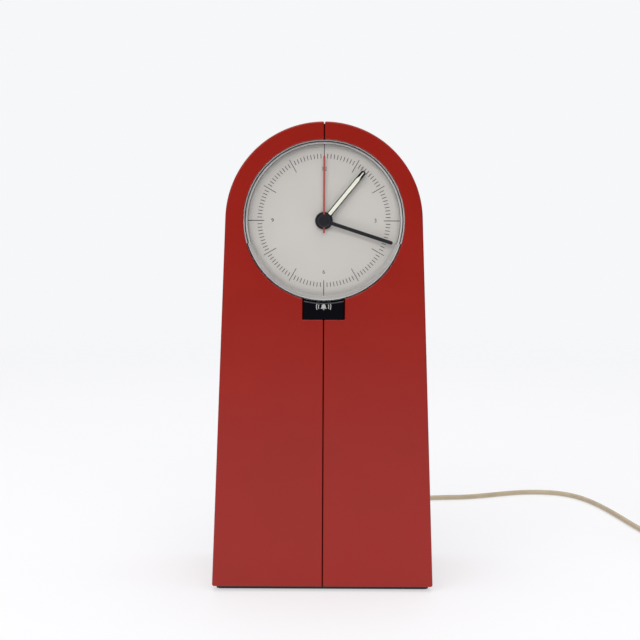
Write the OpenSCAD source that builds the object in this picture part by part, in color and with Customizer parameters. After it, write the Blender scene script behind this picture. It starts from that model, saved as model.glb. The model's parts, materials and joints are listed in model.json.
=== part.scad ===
// Bedside radio alarm clock: two half shells around a dial, a quartz movement and a small radio.
// Millimetres. Z is up, the dial faces -Y, and the origin is on the table under the middle of the case.

/* [Case] */
// Height of the case over its rubber feet
case_h = 193; // [185:1:215]
// Width of the case at its foot
foot_w = 91.4; // [88:0.1:94]
// Depth of the case, front to back
case_d = 65; // [63:0.5:70]
// Radius of the arched top
arch_r = 40; // [39.8:0.1:40.5]
// Height of the shells' lower edge over the table
shell_z = 2; // [1.8:0.1:3]
// Wall of the shells
wall = 2.4; // [2:0.1:2.6]
// Gap between the two shells
seam = 0.4; // [0.2:0.05:0.5]

/* [Dial] */
// Radius of the round opening
opening_r = 32.8; // [32.4:0.1:32.8]
// Radius of the white dial plate
dial_r = 31.1; // [30:0.1:31.2]
// Length of the minute hand
minute_len = 29.4; // [26:0.1:29.6]
// Length of the hour hand
hour_len = 25.9; // [22:0.1:27]
// Length of the alarm hand
alarm_len = 26.3; // [20:0.1:28]
// Clock angle of the hour hand, clockwise from twelve
hour_at = 39.2; // [0:0.1:360]
// Clock angle of the minute hand, clockwise from twelve
minute_at = 108; // [0:0.1:360]

/* [Alarm button] */
// Width of the button
button_w = 16.8; // [14:0.1:18]
// How far its lower edge is below the dial's middle
button_drop = 39.9; // [38:0.1:42]
// How far the button travels
button_travel = 2; // [1.5:0.1:2]
// Clear gap around the button
button_gap = 0.25; // [0.2:0.05:0.4]

/* [Wheels] */
// Tooth size of the motion work and the centre wheel
motion_m = 0.3; // [0.3:0.01:0.3]
// Tooth size of the alarm setting wheels
alarm_m = 0.45; // [0.45:0.01:0.45]
// Tooth size of the third wheel
third_m = 0.32; // [0.32:0.01:0.32]
// Tooth size of the intermediate wheel
inter_m = 0.25; // [0.25:0.01:0.25]

/* [Rear controls] */
// Radius of the time and alarm setting knobs
set_knob_r = 6; // [5:0.1:6.5]
// Radius of the tuning and volume knobs
radio_knob_r = 9; // [7:0.1:9.5]
// Distance of the tuning and volume knobs from the middle
radio_knob_x = 19; // [17:0.1:20]
// Height of the tuning and volume knobs
radio_z = 101; // [99:0.5:103]
// Height of the loudspeaker's middle
speaker_z = 50; // [48:0.5:52]
// Radius of the loudspeaker
speaker_r = 28.5; // [26:0.1:29]

/* [Cord] */
// Diameter of the cord
cord_d = 2.5; // [2.2:0.1:3]
// Radius of the coil at the middle of its turns
coil_r = 15; // [14:0.5:16]

/* [Hidden] */
$fn = 96;
eps = 0.01;

// Case, worked out: the sides are straight and tangent to the arch, leaning by side_lean
front_y = -case_d / 2;
back_y = case_d / 2;
dial_z = case_h - arch_r;
foot_drop = dial_z - shell_z;
side_lean = acos(arch_r / norm([foot_w / 2, foot_drop])) - atan2(foot_drop, foot_w / 2);
inner_front = front_y + wall;
lip = wall / 2;
tongue_w = 1.8;

// Rear panel
panel_inset = 6;
panel_t = 2;
panel_out = back_y - 0.8;
panel_in = panel_out - panel_t;
panel_low = 7.5;
well_depth = 3.6;
well_floor = panel_out - well_depth;

// Layers behind the lens, front to back
lens_front = front_y + 0.3;
lens_t = 1.6;
lens_back = lens_front + lens_t;
dial_front = front_y + 5.9;
dial_back = dial_front + 0.8;
frame_front = inner_front + 1.6;
frame_back = dial_back + 2;
frame_r = arch_r - wall - 0.5;

// Movement planes, front to back
plate_front = frame_back;
plate_t = 1.5;
wheel_t = 1.2;
alarm_y = plate_front + plate_t + 0.3;
middle_y = alarm_y + wheel_t + 0.3;
middle_t = 0.8;
hour_y = middle_y + middle_t + 0.3;
minute_y = hour_y + wheel_t + 0.3;
centre_y = minute_y + wheel_t + 0.3;
third_y = centre_y + wheel_t + 0.3;
inter_y = third_y + 1.3;
rotor_y = inter_y + 1.3;
back_in = rotor_y + 1.4;
movement_split = minute_y;
movement_end = back_in + 1.2;
movement_x = 23;
movement_top = 23;
movement_low = 29;
movement_wall = 1.2;
tab_x = 26.4;

// Wheel positions on the dial's plane, from its middle
motion_dir = 20;
alarm_dir = 160;
motion_step = 24 * motion_m;
minute_wheel_at = motion_step * [cos(motion_dir), sin(motion_dir)];
time_at = 2 * minute_wheel_at;
alarm_at = 32 * alarm_m * [cos(alarm_dir), sin(alarm_dir)];
hour_m = motion_step / 25;
third_dir = 250;
third_at = 28 * motion_m * [cos(third_dir), sin(third_dir)];
inter_dir = 300;
inter_at = third_at + 20 * third_m * [cos(inter_dir), sin(inter_dir)];
rotor_at = inter_at + 24 * inter_m * [0, -1];

// Arbors and tubes on the dial's middle: each pair runs with clearance run
run = 0.05;
arbor_r = 0.75;
hour_tube_r = 1.3;
alarm_tube_r = 1.95;
bush_r = 3.1;
pivot_r = 0.4;

// Hands, front faces
hub_r = 3.6;
alarm_hub_front = dial_front - 1.3;
alarm_hand_front = alarm_hub_front - 0.25;
hour_hand_front = alarm_hand_front - 0.75;
minute_hand_front = hour_hand_front - 0.7;
cap_front = minute_hand_front - 0.6;
hand_hub_r = 2.6;

// Button and its switch
guide_back = frame_back + 3.3;
guide_t = 1.5;
button_z = dial_z - 35.2;
button_front = front_y + 0.3;
flange_front = inner_front + 0.35;
flange_back = flange_front + 1.2;
stem_r = 2;
tip_r = 1;
spring_r = 3;
spring_wire = 0.4;

// Cell and its bay
cell_r = 7.1;
cell_len = 50;
cell_z = 127;
cell_y = panel_in - 9.4;
bay_x = 29.5;
bay_low = cell_z - 7.4;
bay_high = cell_z + 7.8;
bay_back = panel_in - 2.2;
door_w = 56;
door_h = 20;
door_low = cell_z - door_h / 2;
door_t = 2.6;
pin_y = panel_out - door_t / 2;
pin_hole_r = 0.65;

// Radio
board_y = 14;
board_t = 1.6;
board_w = 62;
board_h = 30;
rod_z = 96;
rod_y = board_y - 16;
rod_r = 4;
rod_half = 26;
board_posts = [[-28.5, 86], [28.5, 86], [0, 109]];
board_low = radio_z - 19;
speaker_back = panel_in;
rim_t = 1.2;

// Screws
screw_r = 1.1;
head_r = 2.1;
boss_r = 2.9;
frame_boss_at = 35.1;
frame_boss_dirs = [42, 138, 222, 318];
panel_boss = [[35, 14], [30.8, 140]];
base_boss = [35, 22];

// Cord route, chosen by hand: from the strain relief to the coil, resting on the table
cord_x = 22;
cord_z = 13;
relief_len = 20;
rest_z = cord_d / 2 + 0.02;
route = [
    [22, 51.7, 13], [22, 58, 12.4], [22.3, 66, 10], [23, 76, 6], [24.5, 87, 2.9], [27, 99, 1.6],
    [31.5, 113, 1.32], [38, 128, rest_z], [46, 140, rest_z], [54, 146.4, rest_z], [63, 148.5, rest_z],
    [76, 149.3, rest_z], [87, 153.5, rest_z], [98, 159, rest_z], [108, 163, rest_z], [118, 164, rest_z],
    [127.5, 162, rest_z], [136, 155, rest_z], [143, 139.5, rest_z], [148, 117.5, rest_z],
    [152, 93, rest_z],
    [154.5, 79, rest_z], [157.5, 64, rest_z], [159.8, 50, rest_z], [161, 37, 1.4], [161.4, 26, 1.7]
];
coil_at = [179, 20];
coil_w = 7.5;
coil_h = 10;
tie_t = 0.5;
tie_dir = 60;
adapter_w = 40;
adapter_l = 52;
adapter_h = 30;
adapter_at = [193, 67];
boot_x = 200.2;
boot_z = 8;
boot_len = 14;
pin_r = 2;
pin_len = 19;
pin_gap = 18.6;

// ---- Helpers ----

// Draws children's 2D outline on the dial's plane and makes it solid from front to back along Y
module along_y(front, back, at = [0, 0]) {
    translate([at[0], back, dial_z + at[1]])
        rotate([90, 0, 0])
            linear_extrude(back - front)
                children();
}

// A round bar along Y
module bar_y(r, front, back, at = [0, 0]) {
    translate([at[0], back, dial_z + at[1]])
        rotate([90, 0, 0])
            cylinder(r = r, h = back - front);
}

// The same, placed by its height over the table
module post_y(r, front, back, x, z) {
    bar_y(r, front, back, [x, z - dial_z]);
}

// A box from its lowest to its highest corner
module block(low, high) {
    translate(low)
        cube(high - low);
}

// Places children at x and at -x, turned over so that the two sides match
module both_sides() {
    children();
    mirror([1, 0, 0])
        children();
}

// Outline of the case as seen from the front, drawn inwards by inset, from height low
module face_outline(inset, low) {
    reach = arch_r - inset;
    foot_x = reach / cos(side_lean) + (dial_z - low) * tan(side_lean);
    steps = 64;
    sweep = 180 - 2 * side_lean;
    arch = [
        for (i = [0 : steps])
            let (a = side_lean + i * sweep / steps)
            reach * [cos(a), sin(a)]
    ];
    polygon(concat([[foot_x, low - dial_z]], arch, [[-foot_x, low - dial_z]]));
}

// Right half of the case's outer form, drawn inwards by inset and cut off below low
module half_form(inset, low = shell_z) {
    intersection() {
        along_y(front_y + inset, back_y - inset)
            face_outline(inset, low);
        block([0, -case_d, low - 1], [case_d, case_d, case_h + 1]);
    }
}

// Outline of a wheel with slim pointed teeth, one of them towards phase
module gear(teeth, m, phase = 0, hole = 0) {
    pitch = 360 / teeth;
    r = teeth * m / 2;
    tip = r + 0.9 * m;
    root = r - 1.3 * m;
    difference() {
        polygon([
            for (i = [0 : teeth - 1])
                for (corner = [
                    [root, -0.27], [r, -0.185], [tip, -0.07], [tip, 0.07], [r, 0.185], [root, 0.27]
                ])
                    let (a = phase + pitch * (i + corner[1]))
                        corner[0] * [cos(a), sin(a)]
        ]);
        if (hole > 0)
            circle(hole);
    }
}

// A smooth point on a route, between point i and the next
function on_route(p, i, t) =
    let (a = p[max(i - 1, 0)], b = p[i], c = p[i + 1], d = p[min(i + 2, len(p) - 1)])
    0.5 * (
        2 * b + (c - a) * t + (2 * a - 5 * b + 4 * c - d) * t * t + (3 * b - a - 3 * c + d) * t * t * t
    );

// A tube of 8 sides along a line of points that never runs along the direction flat
module tube(line, d, flat = [0, 0, 1]) {
    sides = 8;
    last = len(line) - 1;
    points = [
        for (i = [0 : last])
            let (
                ahead = line[min(i + 1, last)] - line[max(i - 1, 0)],
                along = ahead / norm(ahead),
                across = cross(along, flat),
                side = across / norm(across),
                up = cross(side, along)
            )
            for (k = [0 : sides - 1])
                line[i] + d / 2 * (cos(k * 360 / sides) * side + sin(k * 360 / sides) * up)
    ];
    polyhedron(
        points,
        concat(
            [[for (k = [0 : sides - 1]) k]],
            [for (i = [0 : last - 1]) for (k = [0 : sides - 1])
                let (n = (k + 1) % sides)
                [i * sides + k, (i + 1) * sides + k, (i + 1) * sides + n, i * sides + n]],
            [[for (k = [sides - 1 : -1 : 0]) last * sides + k]]
        )
    );
}

// ---- Case ----

// Screw bosses of the right shell, for the dial frame, the rear panel and the base
module right_bosses() {
    for (a = [frame_boss_dirs[0], frame_boss_dirs[3]])
        bar_y(1.9, inner_front - 0.5, frame_back - 1.6, frame_boss_at * [cos(a), sin(a)]);
    for (b = panel_boss) {
        post_y(boss_r, panel_in - 12, panel_in - 0.05, b[0], b[1]);
        block([b[0], panel_in - 12, b[1] - 1], [b[0] + 8.5, panel_in - 0.05, b[1] + 1]);
    }
    for (s = [-1, 1]) {
        translate([base_boss[0], s * base_boss[1], shell_z + 2.2])
            cylinder(r = boss_r, h = 10);
        block(
            [base_boss[0], s * base_boss[1] - 1, shell_z + 2.2],
            [base_boss[0] + 8, s * base_boss[1] + 1, 14.2]
        );
    }
    // Saddle that takes one end of the ferrite rod
    block([rod_half - 3, rod_y - 5.5, rod_z - 5.5], [rod_half + 14, rod_y + 5.5, rod_z + 5.5]);
}

// Screw holes through those bosses
module right_boss_holes() {
    for (a = [frame_boss_dirs[0], frame_boss_dirs[3]])
        bar_y(screw_r, inner_front + 0.6, frame_back, frame_boss_at * [cos(a), sin(a)]);
    for (b = panel_boss)
        post_y(screw_r, panel_in - 9, panel_in + 1, b[0], b[1]);
    for (s = [-1, 1])
        translate([base_boss[0], s * base_boss[1], 0])
            cylinder(r = screw_r, h = 12);
    translate([0, rod_y, rod_z])
        rotate([0, 90, 0])
            cylinder(r = rod_r + run, h = rod_half + 0.1);
}

// Everything cut out of both shells: the dial opening, the button's notch and the rear opening
module shell_cuts() {
    bar_y(opening_r, front_y - 1, inner_front + 1);
    block(
        [-button_w / 2 - button_gap, front_y - 1, dial_z - button_drop - button_gap],
        [button_w / 2 + button_gap, inner_front + 1, dial_z - opening_r + 3]
    );
    along_y(panel_in - 0.5, back_y + 1)
        face_outline(panel_inset, panel_low);
}

// Right shell without the lip at the seam
module half_shell() {
    difference() {
        union() {
            difference() {
                half_form(0);
                half_form(wall, shell_z - 1);
            }
            // The frame that the rear panel rests on
            difference() {
                intersection() {
                    half_form(0.4);
                    block([0, panel_in - 1.6, 0], [case_d, panel_in + 2, case_h]);
                }
                along_y(panel_in - 2, panel_in + 3)
                    face_outline(panel_inset + 2, panel_low + 2);
            }
            intersection() {
                half_form(0.4);
                right_bosses();
            }
        }
        shell_cuts();
        right_boss_holes();
        block([-1, -case_d, 0], [seam / 2, case_d, case_h + 1]);
    }
}

// Band along the seam, from inset a to inset b, that the lip takes up
module seam_band(a, b, from_x, to_x) {
    difference() {
        intersection() {
            both_sides()
                half_form(a);
            block([from_x, -case_d, shell_z], [to_x, panel_in - 2, case_h]);
        }
        both_sides()
            half_form(b, shell_z - 1);
        shell_cuts();
    }
}

module right_shell() {
    color("#b0301f")
        difference() {
            half_shell();
            seam_band(lip, wall + 0.2, -1, tongue_w + 0.2);
        }
}

module left_shell() {
    color("#a82c1c") {
        mirror([1, 0, 0])
            half_shell();
        seam_band(lip + 0.1, wall, -seam / 2 - 1, tongue_w);
    }
}

// Slots of the loudspeaker's grille, cut through the rear panel
module grille_cuts() {
    slot_step = 4;
    for (i = [-6 : 6]) {
        half = sqrt(pow(speaker_r - 3, 2) - pow(i * slot_step, 2));
        z = speaker_z + i * slot_step;
        block([-half, panel_in - 1, z - 0.8], [half, panel_out + 1, z + 0.8]);
    }
}

// Four hooks that hold the loudspeaker's rim against the panel
module speaker_hooks() {
    rim_front = panel_in - rim_t;
    for (a = [45 : 90 : 315])
        translate([0, 0, speaker_z])
            rotate([0, a, 0]) {
                block([speaker_r + 0.1, rim_front - 1.6, -2], [speaker_r + 2.1, panel_in + eps, 2]);
                block([speaker_r - 1.2, rim_front - 1.6, -2], [speaker_r + 0.2, rim_front - 0.05, 2]);
            }
}

// A round well with a floor, for a knob
module well(x, z, r) {
    post_y(r + 1.8, well_floor - 1, panel_in + eps, x, z);
}

module rear_panel() {
    knobs = [
        [time_at[0], dial_z + time_at[1], set_knob_r], [alarm_at[0], dial_z + alarm_at[1], set_knob_r],
        [-radio_knob_x, radio_z, radio_knob_r], [radio_knob_x, radio_z, radio_knob_r]
    ];
    color("#26262a")
        difference() {
            union() {
                along_y(panel_in, panel_out)
                    face_outline(panel_inset + 0.25, panel_low + 0.25);
                for (k = knobs)
                    well(k[0], k[1], k[2]);
                block(
                    [-bay_x, cell_y - cell_r - 1.6, bay_low - 1.2],
                    [bay_x, panel_in + eps, bay_high + 1.2]
                );
                for (p = board_posts)
                    post_y(2.4, board_y + board_t, panel_in + eps, p[0], p[1]);
                speaker_hooks();
            }
            for (p = board_posts)
                post_y(screw_r, board_y, board_y + 9, p[0], p[1]);
            for (k = knobs) {
                post_y(k[2] + 0.6, well_floor, panel_out + 1, k[0], k[1]);
                post_y(1.6, well_floor - 2, panel_out, k[0], k[1]);
            }
            // The cell's bay, and the door's rebate
            block([-bay_x + 1.4, cell_y - cell_r - 0.3, bay_low], [bay_x - 1.4, bay_back, bay_high]);
            block(
                [-door_w / 2 + 2, bay_back - 1, door_low + 2.8],
                [door_w / 2 - 2, panel_out + 1, door_low + door_h - 1.6]
            );
            block(
                [-door_w / 2 - 0.3, panel_out - door_t - 0.2, door_low - 0.3],
                [door_w / 2 + 0.3, panel_out + 1, door_low + door_h + 0.3]
            );
            translate([-door_w / 2 - 1.3, pin_y, door_low + door_t / 2])
                rotate([0, 90, 0])
                    cylinder(r = pin_hole_r, h = door_w + 2.6);
            grille_cuts();
            // The function slider's slot
            block([-5, panel_in - 1, radio_z - 1.4], [5, panel_out + 1, radio_z + 1.4]);
            // The cord's hole and the screw holes
            post_y(4, panel_in - 1, panel_out + 1, cord_x, cord_z);
            for (s = [-1, 1])
                for (b = panel_boss) {
                    post_y(screw_r + 0.1, panel_in - 1, panel_out + 1, s * b[0], b[1]);
                    post_y(head_r + 0.1, panel_out - 1, panel_out + 1, s * b[0], b[1]);
                }
        }
}

// Outline of the base, as seen from above
module foot_outline(inset) {
    corner = 2;
    square([foot_w - 2 * inset, case_d - 2 * inset - 2 * corner], center = true);
    square([foot_w - 2 * inset - 2 * corner, case_d - 2 * inset], center = true);
    for (sx = [-1, 1])
        for (sy = [-1, 1])
            translate([sx * (foot_w / 2 - inset - corner), sy * (case_d / 2 - inset - corner)])
                circle(corner);
}

module base_plate() {
    plate_z = 0.7;
    color("#1e1e22")
        difference() {
            union() {
                translate([0, 0, plate_z])
                    linear_extrude(shell_z - plate_z)
                        foot_outline(1.7);
                translate([0, 0, shell_z - eps])
                    linear_extrude(2.2)
                        foot_outline(wall + 0.45);
            }
            for (sx = [-1, 1])
                for (sy = [-1, 1])
                    translate([sx * base_boss[0], sy * base_boss[1], 0]) {
                        cylinder(r = screw_r + 0.1, h = 6);
                        cylinder(r = head_r + 0.1, h = plate_z + 1.3);
                    }
            // Room for the ledge that the rear panel rests on
            block([-foot_w / 2, panel_in - 2, shell_z], [foot_w / 2, back_y, shell_z + 3]);
            // Round rebates for the rubber feet
            for (sx = [-1, 1])
                for (sy = [-1, 1])
                    translate([sx * 33, sy * 12, 0])
                        cylinder(r = 5.1, h = plate_z + 0.5);
        }
}

module rubber_feet() {
    color("#202024")
        for (sx = [-1, 1])
            for (sy = [-1, 1])
                translate([sx * 33, sy * 12, 0])
                    cylinder(r = 5, h = 1.2);
}

// ---- Dial ----

module dial_frame() {
    guide_x = button_w / 2 + 3.2;
    guide_low = dial_z - 45;
    color("#1c1c20")
        difference() {
            union() {
                bar_y(frame_r, frame_front, frame_back);
                // The button's guide, stepped back under the dial
                block([-guide_x, dial_back, guide_low], [guide_x, guide_back, dial_z - 30]);
            }
            bar_y(dial_r + 0.1, frame_front - 1, dial_back);
            bar_y(bush_r + 0.15, dial_front, frame_back + 1);
            for (s = [-1, 1])
                bar_y(screw_r, dial_back, frame_back + 1, [s * tab_x, 0]);
            for (a = frame_boss_dirs) {
                bar_y(2.1, frame_front - 1, frame_back - 1.5, frame_boss_at * [cos(a), sin(a)]);
                bar_y(screw_r + 0.1, frame_front, frame_back + 1, frame_boss_at * [cos(a), sin(a)]);
            }
            block(
                [-guide_x + 1.2, dial_back - 4, guide_low - 1],
                [guide_x - 1.2, guide_back - guide_t, dial_z - dial_r - 0.8]
            );
            // Room for the movement and for the button's flange and cap
            block(
                [-movement_x - 0.1, frame_back, dial_z - movement_low - 0.1],
                [movement_x + 0.1, guide_back + 1, dial_z]
            );
            block(
                [-guide_x + 1.2, frame_front - 1, dial_z - frame_r - 1],
                [guide_x - 1.2, dial_back, dial_z - dial_r - 0.8]
            );
            post_y(stem_r + 0.1, dial_back, guide_back + 1, 0, button_z);
        }
}

module dial_plate() {
    color("#c9c6c0")
        difference() {
            bar_y(dial_r, dial_front, dial_back);
            bar_y(bush_r + 0.15, dial_front - 1, dial_back + 1);
        }
}

// Clear lens: a disc, a skirt that is thicker round the lower part, and lugs behind the shells
module lens() {
    skirt_back = inner_front + 0.3;
    lug_back = frame_front - 0.05;
    // The thicker part runs from end_dir, right, round below to the same height on the left
    end_dir = -17.5;
    reach = 60;
    end = reach * [cos(end_dir), sin(end_dir)];
    color([0.9, 0.93, 0.95, 0.35]) {
        difference() {
            union() {
                bar_y(opening_r - 0.25, lens_front, lug_back);
                difference() {
                    bar_y(opening_r + 0.3, skirt_back, lug_back);
                    block(
                        [-button_w / 2 - 1.5, skirt_back - 1, dial_z - 36],
                        [button_w / 2 + 1.5, lug_back + 1, dial_z - 24]
                    );
                }
            }
            bar_y(opening_r - 0.8, lens_back, lug_back + 1);
        }
        difference() {
            intersection() {
                bar_y(opening_r - 0.8, lens_back - 0.1, lug_back);
                along_y(lens_back - 0.1, lug_back)
                    polygon([[0, 0], end, [reach, -reach], [-reach, -reach], [-end[0], end[1]]]);
            }
            bar_y(opening_r - 2.3, lens_back - 1, lug_back + 1);
        }
    }
}

// Dark ring behind the lens's edge, open below
module lens_gasket() {
    color("#1a1a1e")
        translate([0, lens_back + 1.2, dial_z])
            rotate([90, 0, 0])
                rotate_extrude(angle = 213, start = -16.5)
                    translate([opening_r - 1.35, 0.02])
                        square([0.3, 1.1]);
}

// Straight hand pointing at a clock angle, with a round hub
module hand(length, width, hub, hole, angle, front, t, tail = 0, tip_round = true) {
    along_y(front, front + t)
        rotate(-angle)
            difference() {
                union() {
                    circle(hub);
                    translate([-width / 2, -tail])
                        square([width, length + tail - (tip_round ? width / 2 : 0)]);
                    if (tip_round)
                        translate([0, length - width / 2])
                            circle(width / 2);
                }
                circle(hole);
            }
}

module alarm_hand_hub() {
    color("#18181c")
        difference() {
            bar_y(hub_r, alarm_hub_front, dial_front - 0.6);
            bar_y(alarm_tube_r, alarm_hub_front - 1, dial_front);
        }
}

module alarm_hand() {
    color("#a8382c")
        hand(alarm_len, 0.8, 2.45, alarm_tube_r, 0, alarm_hand_front, 0.25, tail = 5.05, tip_round = false);
}

// Slot in the hour hand that the luminous filling takes up, drawn in to a thin line before the tip
module lume_outline() {
    wide = 0.72;
    thin = 0.22;
    root = hub_r - 0.2;
    rotate(-hour_at)
        polygon([
            [-wide, root], [-wide, hour_len - 4.4], [-thin, hour_len - 2.6], [-thin, hour_len - 0.7],
            [thin, hour_len - 0.7], [thin, hour_len - 2.6], [wide, hour_len - 4.4], [wide, root]
        ]);
}

module hour_hand() {
    color("#18181c")
        difference() {
            hand(hour_len, 2.15, hand_hub_r, hour_tube_r, hour_at, hour_hand_front, 0.5);
            along_y(hour_hand_front - 1, hour_hand_front + 0.35)
                lume_outline();
        }
}

module hour_lume() {
    color("#eeecd8")
        along_y(hour_hand_front, hour_hand_front + 0.35)
            lume_outline();
}

module minute_hand() {
    color("#1c1c20")
        hand(minute_len, 1.5, hand_hub_r, arbor_r, minute_at, minute_hand_front, 0.45);
}

module centre_cap() {
    color("#18181c")
        bar_y(2.45, cap_front, minute_hand_front);
}

// ---- Movement ----

// Outline of the movement's case
module movement_outline(inset) {
    corner = 5;
    x = movement_x - inset;
    top = movement_top - inset;
    low = movement_low - inset;
    polygon([
        [-x, -low], [x, -low], [x, top - corner], [x - corner, top], [-x + corner, top], [-x, top - corner]
    ]);
}

module movement_front() {
    color("#d8d8d4")
        difference() {
            union() {
                along_y(plate_front, movement_split)
                    movement_outline(0);
                bar_y(bush_r, dial_front - 0.3, plate_front + eps);
                along_y(plate_front, plate_front + plate_t) {
                    square([2 * tab_x, 6], center = true);
                    for (s = [-1, 1])
                        translate([s * tab_x, 0])
                            circle(3);
                }
            }
            for (s = [-1, 1])
                bar_y(screw_r + 0.1, plate_front - 1, plate_front + plate_t + 1, [s * tab_x, 0]);
            along_y(plate_front + plate_t, movement_split + 1)
                movement_outline(movement_wall);
            bar_y(alarm_tube_r + run, dial_front - 1, plate_front + 4);
            bar_y(0.65, plate_front + 0.5, plate_front + 4, alarm_at);
            bar_y(0.65, plate_front + 0.5, plate_front + 4, time_at);
        }
}

module middle_plate() {
    color("#b9b9b5") {
        difference() {
            along_y(middle_y, middle_y + middle_t)
                movement_outline(movement_wall);
            bar_y(hour_tube_r + run, middle_y - 1, middle_y + 2);
            bar_y(1.3, middle_y - 1, middle_y + 2, alarm_at);
            bar_y(0.65, middle_y - 1, middle_y + 2, time_at);
            for (at = [third_at, inter_at, rotor_at])
                bar_y(pivot_r + run, middle_y - 1, middle_y + 2, at);
        }
        // Stud for the minute wheel
        bar_y(0.6, middle_y, centre_y - 0.25, minute_wheel_at);
    }
}

module movement_back() {
    color("#d8d8d4")
        difference() {
            along_y(movement_split, movement_end)
                movement_outline(0);
            along_y(movement_split - 1, back_in)
                movement_outline(movement_wall);
            bar_y(arbor_r + run, back_in - 1, back_in + 0.7);
            bar_y(1.3, back_in - 1, movement_end + 1, alarm_at);
            bar_y(1.3, back_in - 1, movement_end + 1, time_at);
            for (at = [third_at, inter_at, rotor_at])
                bar_y(pivot_r + run, back_in - 1, back_in + 0.7, at);
        }
}

module cannon_pinion() {
    color("#c9a94e") {
        bar_y(arbor_r, minute_hand_front, back_in + 0.5);
        along_y(minute_y, minute_y + wheel_t)
            gear(12, motion_m, motion_dir);
    }
}

module minute_wheel() {
    color("#e8e4d0") {
        along_y(minute_y, minute_y + wheel_t, minute_wheel_at)
            gear(36, motion_m, motion_dir + 185, 0.65);
        along_y(hour_y, minute_y + eps, minute_wheel_at)
            gear(10, hour_m, motion_dir + 198, 0.65);
    }
}

module hour_wheel() {
    color("#e8e4d0") {
        along_y(hour_y, hour_y + wheel_t)
            gear(40, hour_m, motion_dir, arbor_r + run);
        difference() {
            bar_y(hour_tube_r, hour_hand_front, hour_y + eps);
            bar_y(arbor_r + run, hour_hand_front - 1, hour_y + 1);
        }
    }
}

module alarm_wheel() {
    color("#d06a4a") {
        along_y(alarm_y, alarm_y + wheel_t)
            gear(40, alarm_m, alarm_dir, hour_tube_r + run);
        difference() {
            bar_y(alarm_tube_r, alarm_hand_front, alarm_y + eps);
            bar_y(hour_tube_r + run, alarm_hand_front - 1, alarm_y + 1);
        }
    }
}

module centre_wheel() {
    color("#c9a94e")
        along_y(centre_y, centre_y + wheel_t)
            gear(48, motion_m, third_dir, arbor_r + run);
}

module third_wheel() {
    color("#e8e4d0") {
        bar_y(pivot_r, middle_y + 0.1, back_in + 0.6, third_at);
        along_y(centre_y, third_y + eps, third_at)
            gear(8, motion_m, third_dir + 202.5);
        along_y(third_y, third_y + 1, third_at)
            gear(32, third_m, inter_dir);
    }
}

module intermediate_wheel() {
    color("#e8e4d0") {
        bar_y(pivot_r, middle_y + 0.1, back_in + 0.6, inter_at);
        along_y(third_y, inter_y + eps, inter_at)
            gear(8, third_m, inter_dir + 202.5);
        along_y(inter_y, inter_y + 1, inter_at)
            gear(40, inter_m, 270);
    }
}

module rotor() {
    color("#5a5a60") {
        bar_y(pivot_r, middle_y + 0.1, back_in + 0.6, rotor_at);
        along_y(inter_y, rotor_y + eps, rotor_at)
            gear(8, inter_m, 270 + 202.5);
        bar_y(1.8, rotor_y, rotor_y + 1, rotor_at);
    }
}

// Middle of the drive coil, under the rotor
coil_z = -25;
coil_y = centre_y - 0.5;
post_x = 15;

module stator() {
    color("#8c8f94")
        difference() {
            block([-18, rotor_y, dial_z - 27.5], [18, rotor_y + 1, dial_z + rotor_at[1] + 3.6]);
            bar_y(2.2, rotor_y - 1, rotor_y + 2, rotor_at);
        }
}

module coil_core() {
    z = dial_z + coil_z;
    color("#8c8f94") {
        block([-post_x - 1.5, coil_y - 0.5, z - 1.5], [post_x + 1.5, coil_y + 0.5, z + 1.5]);
        for (s = [-1, 1])
            block([s * post_x - 1.5, coil_y, z - 1.5], [s * post_x + 1.5, rotor_y, z + 1.5]);
    }
}

module drive_coil() {
    color("#b5622e")
        difference() {
            translate([-12, coil_y, dial_z + coil_z])
                rotate([0, 90, 0])
                    cylinder(r = 2.6, h = 24);
            block([-13, coil_y - 0.5, dial_z + coil_z - 1.5], [13, coil_y + 0.5, dial_z + coil_z + 1.5]);
        }
}

module quartz_board() {
    color("#2f6b3c") {
        block([-17, back_in - 0.8, dial_z + 8.5], [9, back_in, dial_z + 19.5]);
        block([-14, back_in - 2.4, dial_z + 11], [-8, back_in - 0.7, dial_z + 17]);
        // Quartz crystal in its can
        translate([-4, back_in - 1.75, dial_z + 14])
            rotate([0, 90, 0])
                cylinder(r = 1, h = 7);
    }
}

// Setting shaft with its pinion, running from the movement to the rear panel
module setting_shaft(at, teeth, m, phase, pinion_y) {
    bar_y(0.6, plate_front + 0.6, pinion_y + eps, at);
    bar_y(1.2, pinion_y, panel_out - 1.5, at);
    along_y(pinion_y, pinion_y + wheel_t, at)
        gear(teeth, m, phase);
}

module time_shaft() {
    color("#e8e4d0")
        setting_shaft(time_at, 12, motion_m, motion_dir + 180, minute_y);
}

module alarm_shaft() {
    color("#d06a4a")
        setting_shaft(alarm_at, 24, alarm_m, alarm_dir + 187.5, alarm_y);
}

// Knob with a fluted edge and a finger dimple, pressed on a shaft
module knob(x, z, r, shaft, flutes, dimple) {
    difference() {
        post_y(r, well_floor + 0.4, panel_out - 0.1, x, z);
        for (a = [0 : 360 / flutes : 359])
            post_y(0.5, well_floor, panel_out, x + (r + 0.2) * cos(a), z + (r + 0.2) * sin(a));
        post_y(shaft, well_floor, panel_out - 1.5, x, z);
        translate([x, panel_out + 3, z + dimple])
            sphere(3.6);
    }
}

module time_knob() {
    color("#3a3a40")
        knob(time_at[0], dial_z + time_at[1], set_knob_r, 1.2, 24, 0);
}

module alarm_knob() {
    color("#8a2a20")
        knob(alarm_at[0], dial_z + alarm_at[1], set_knob_r, 1.2, 24, 0);
}

// ---- Cell ----

module clock_cell() {
    color("#5c7a8c")
        translate([-cell_len / 2 + 0.8, cell_y, cell_z])
            rotate([0, 90, 0]) {
                cylinder(r = cell_r, h = cell_len - 1.6);
                translate([0, 0, cell_len - 1.6])
                    cylinder(r = 2.7, h = 1.4);
            }
}

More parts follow.
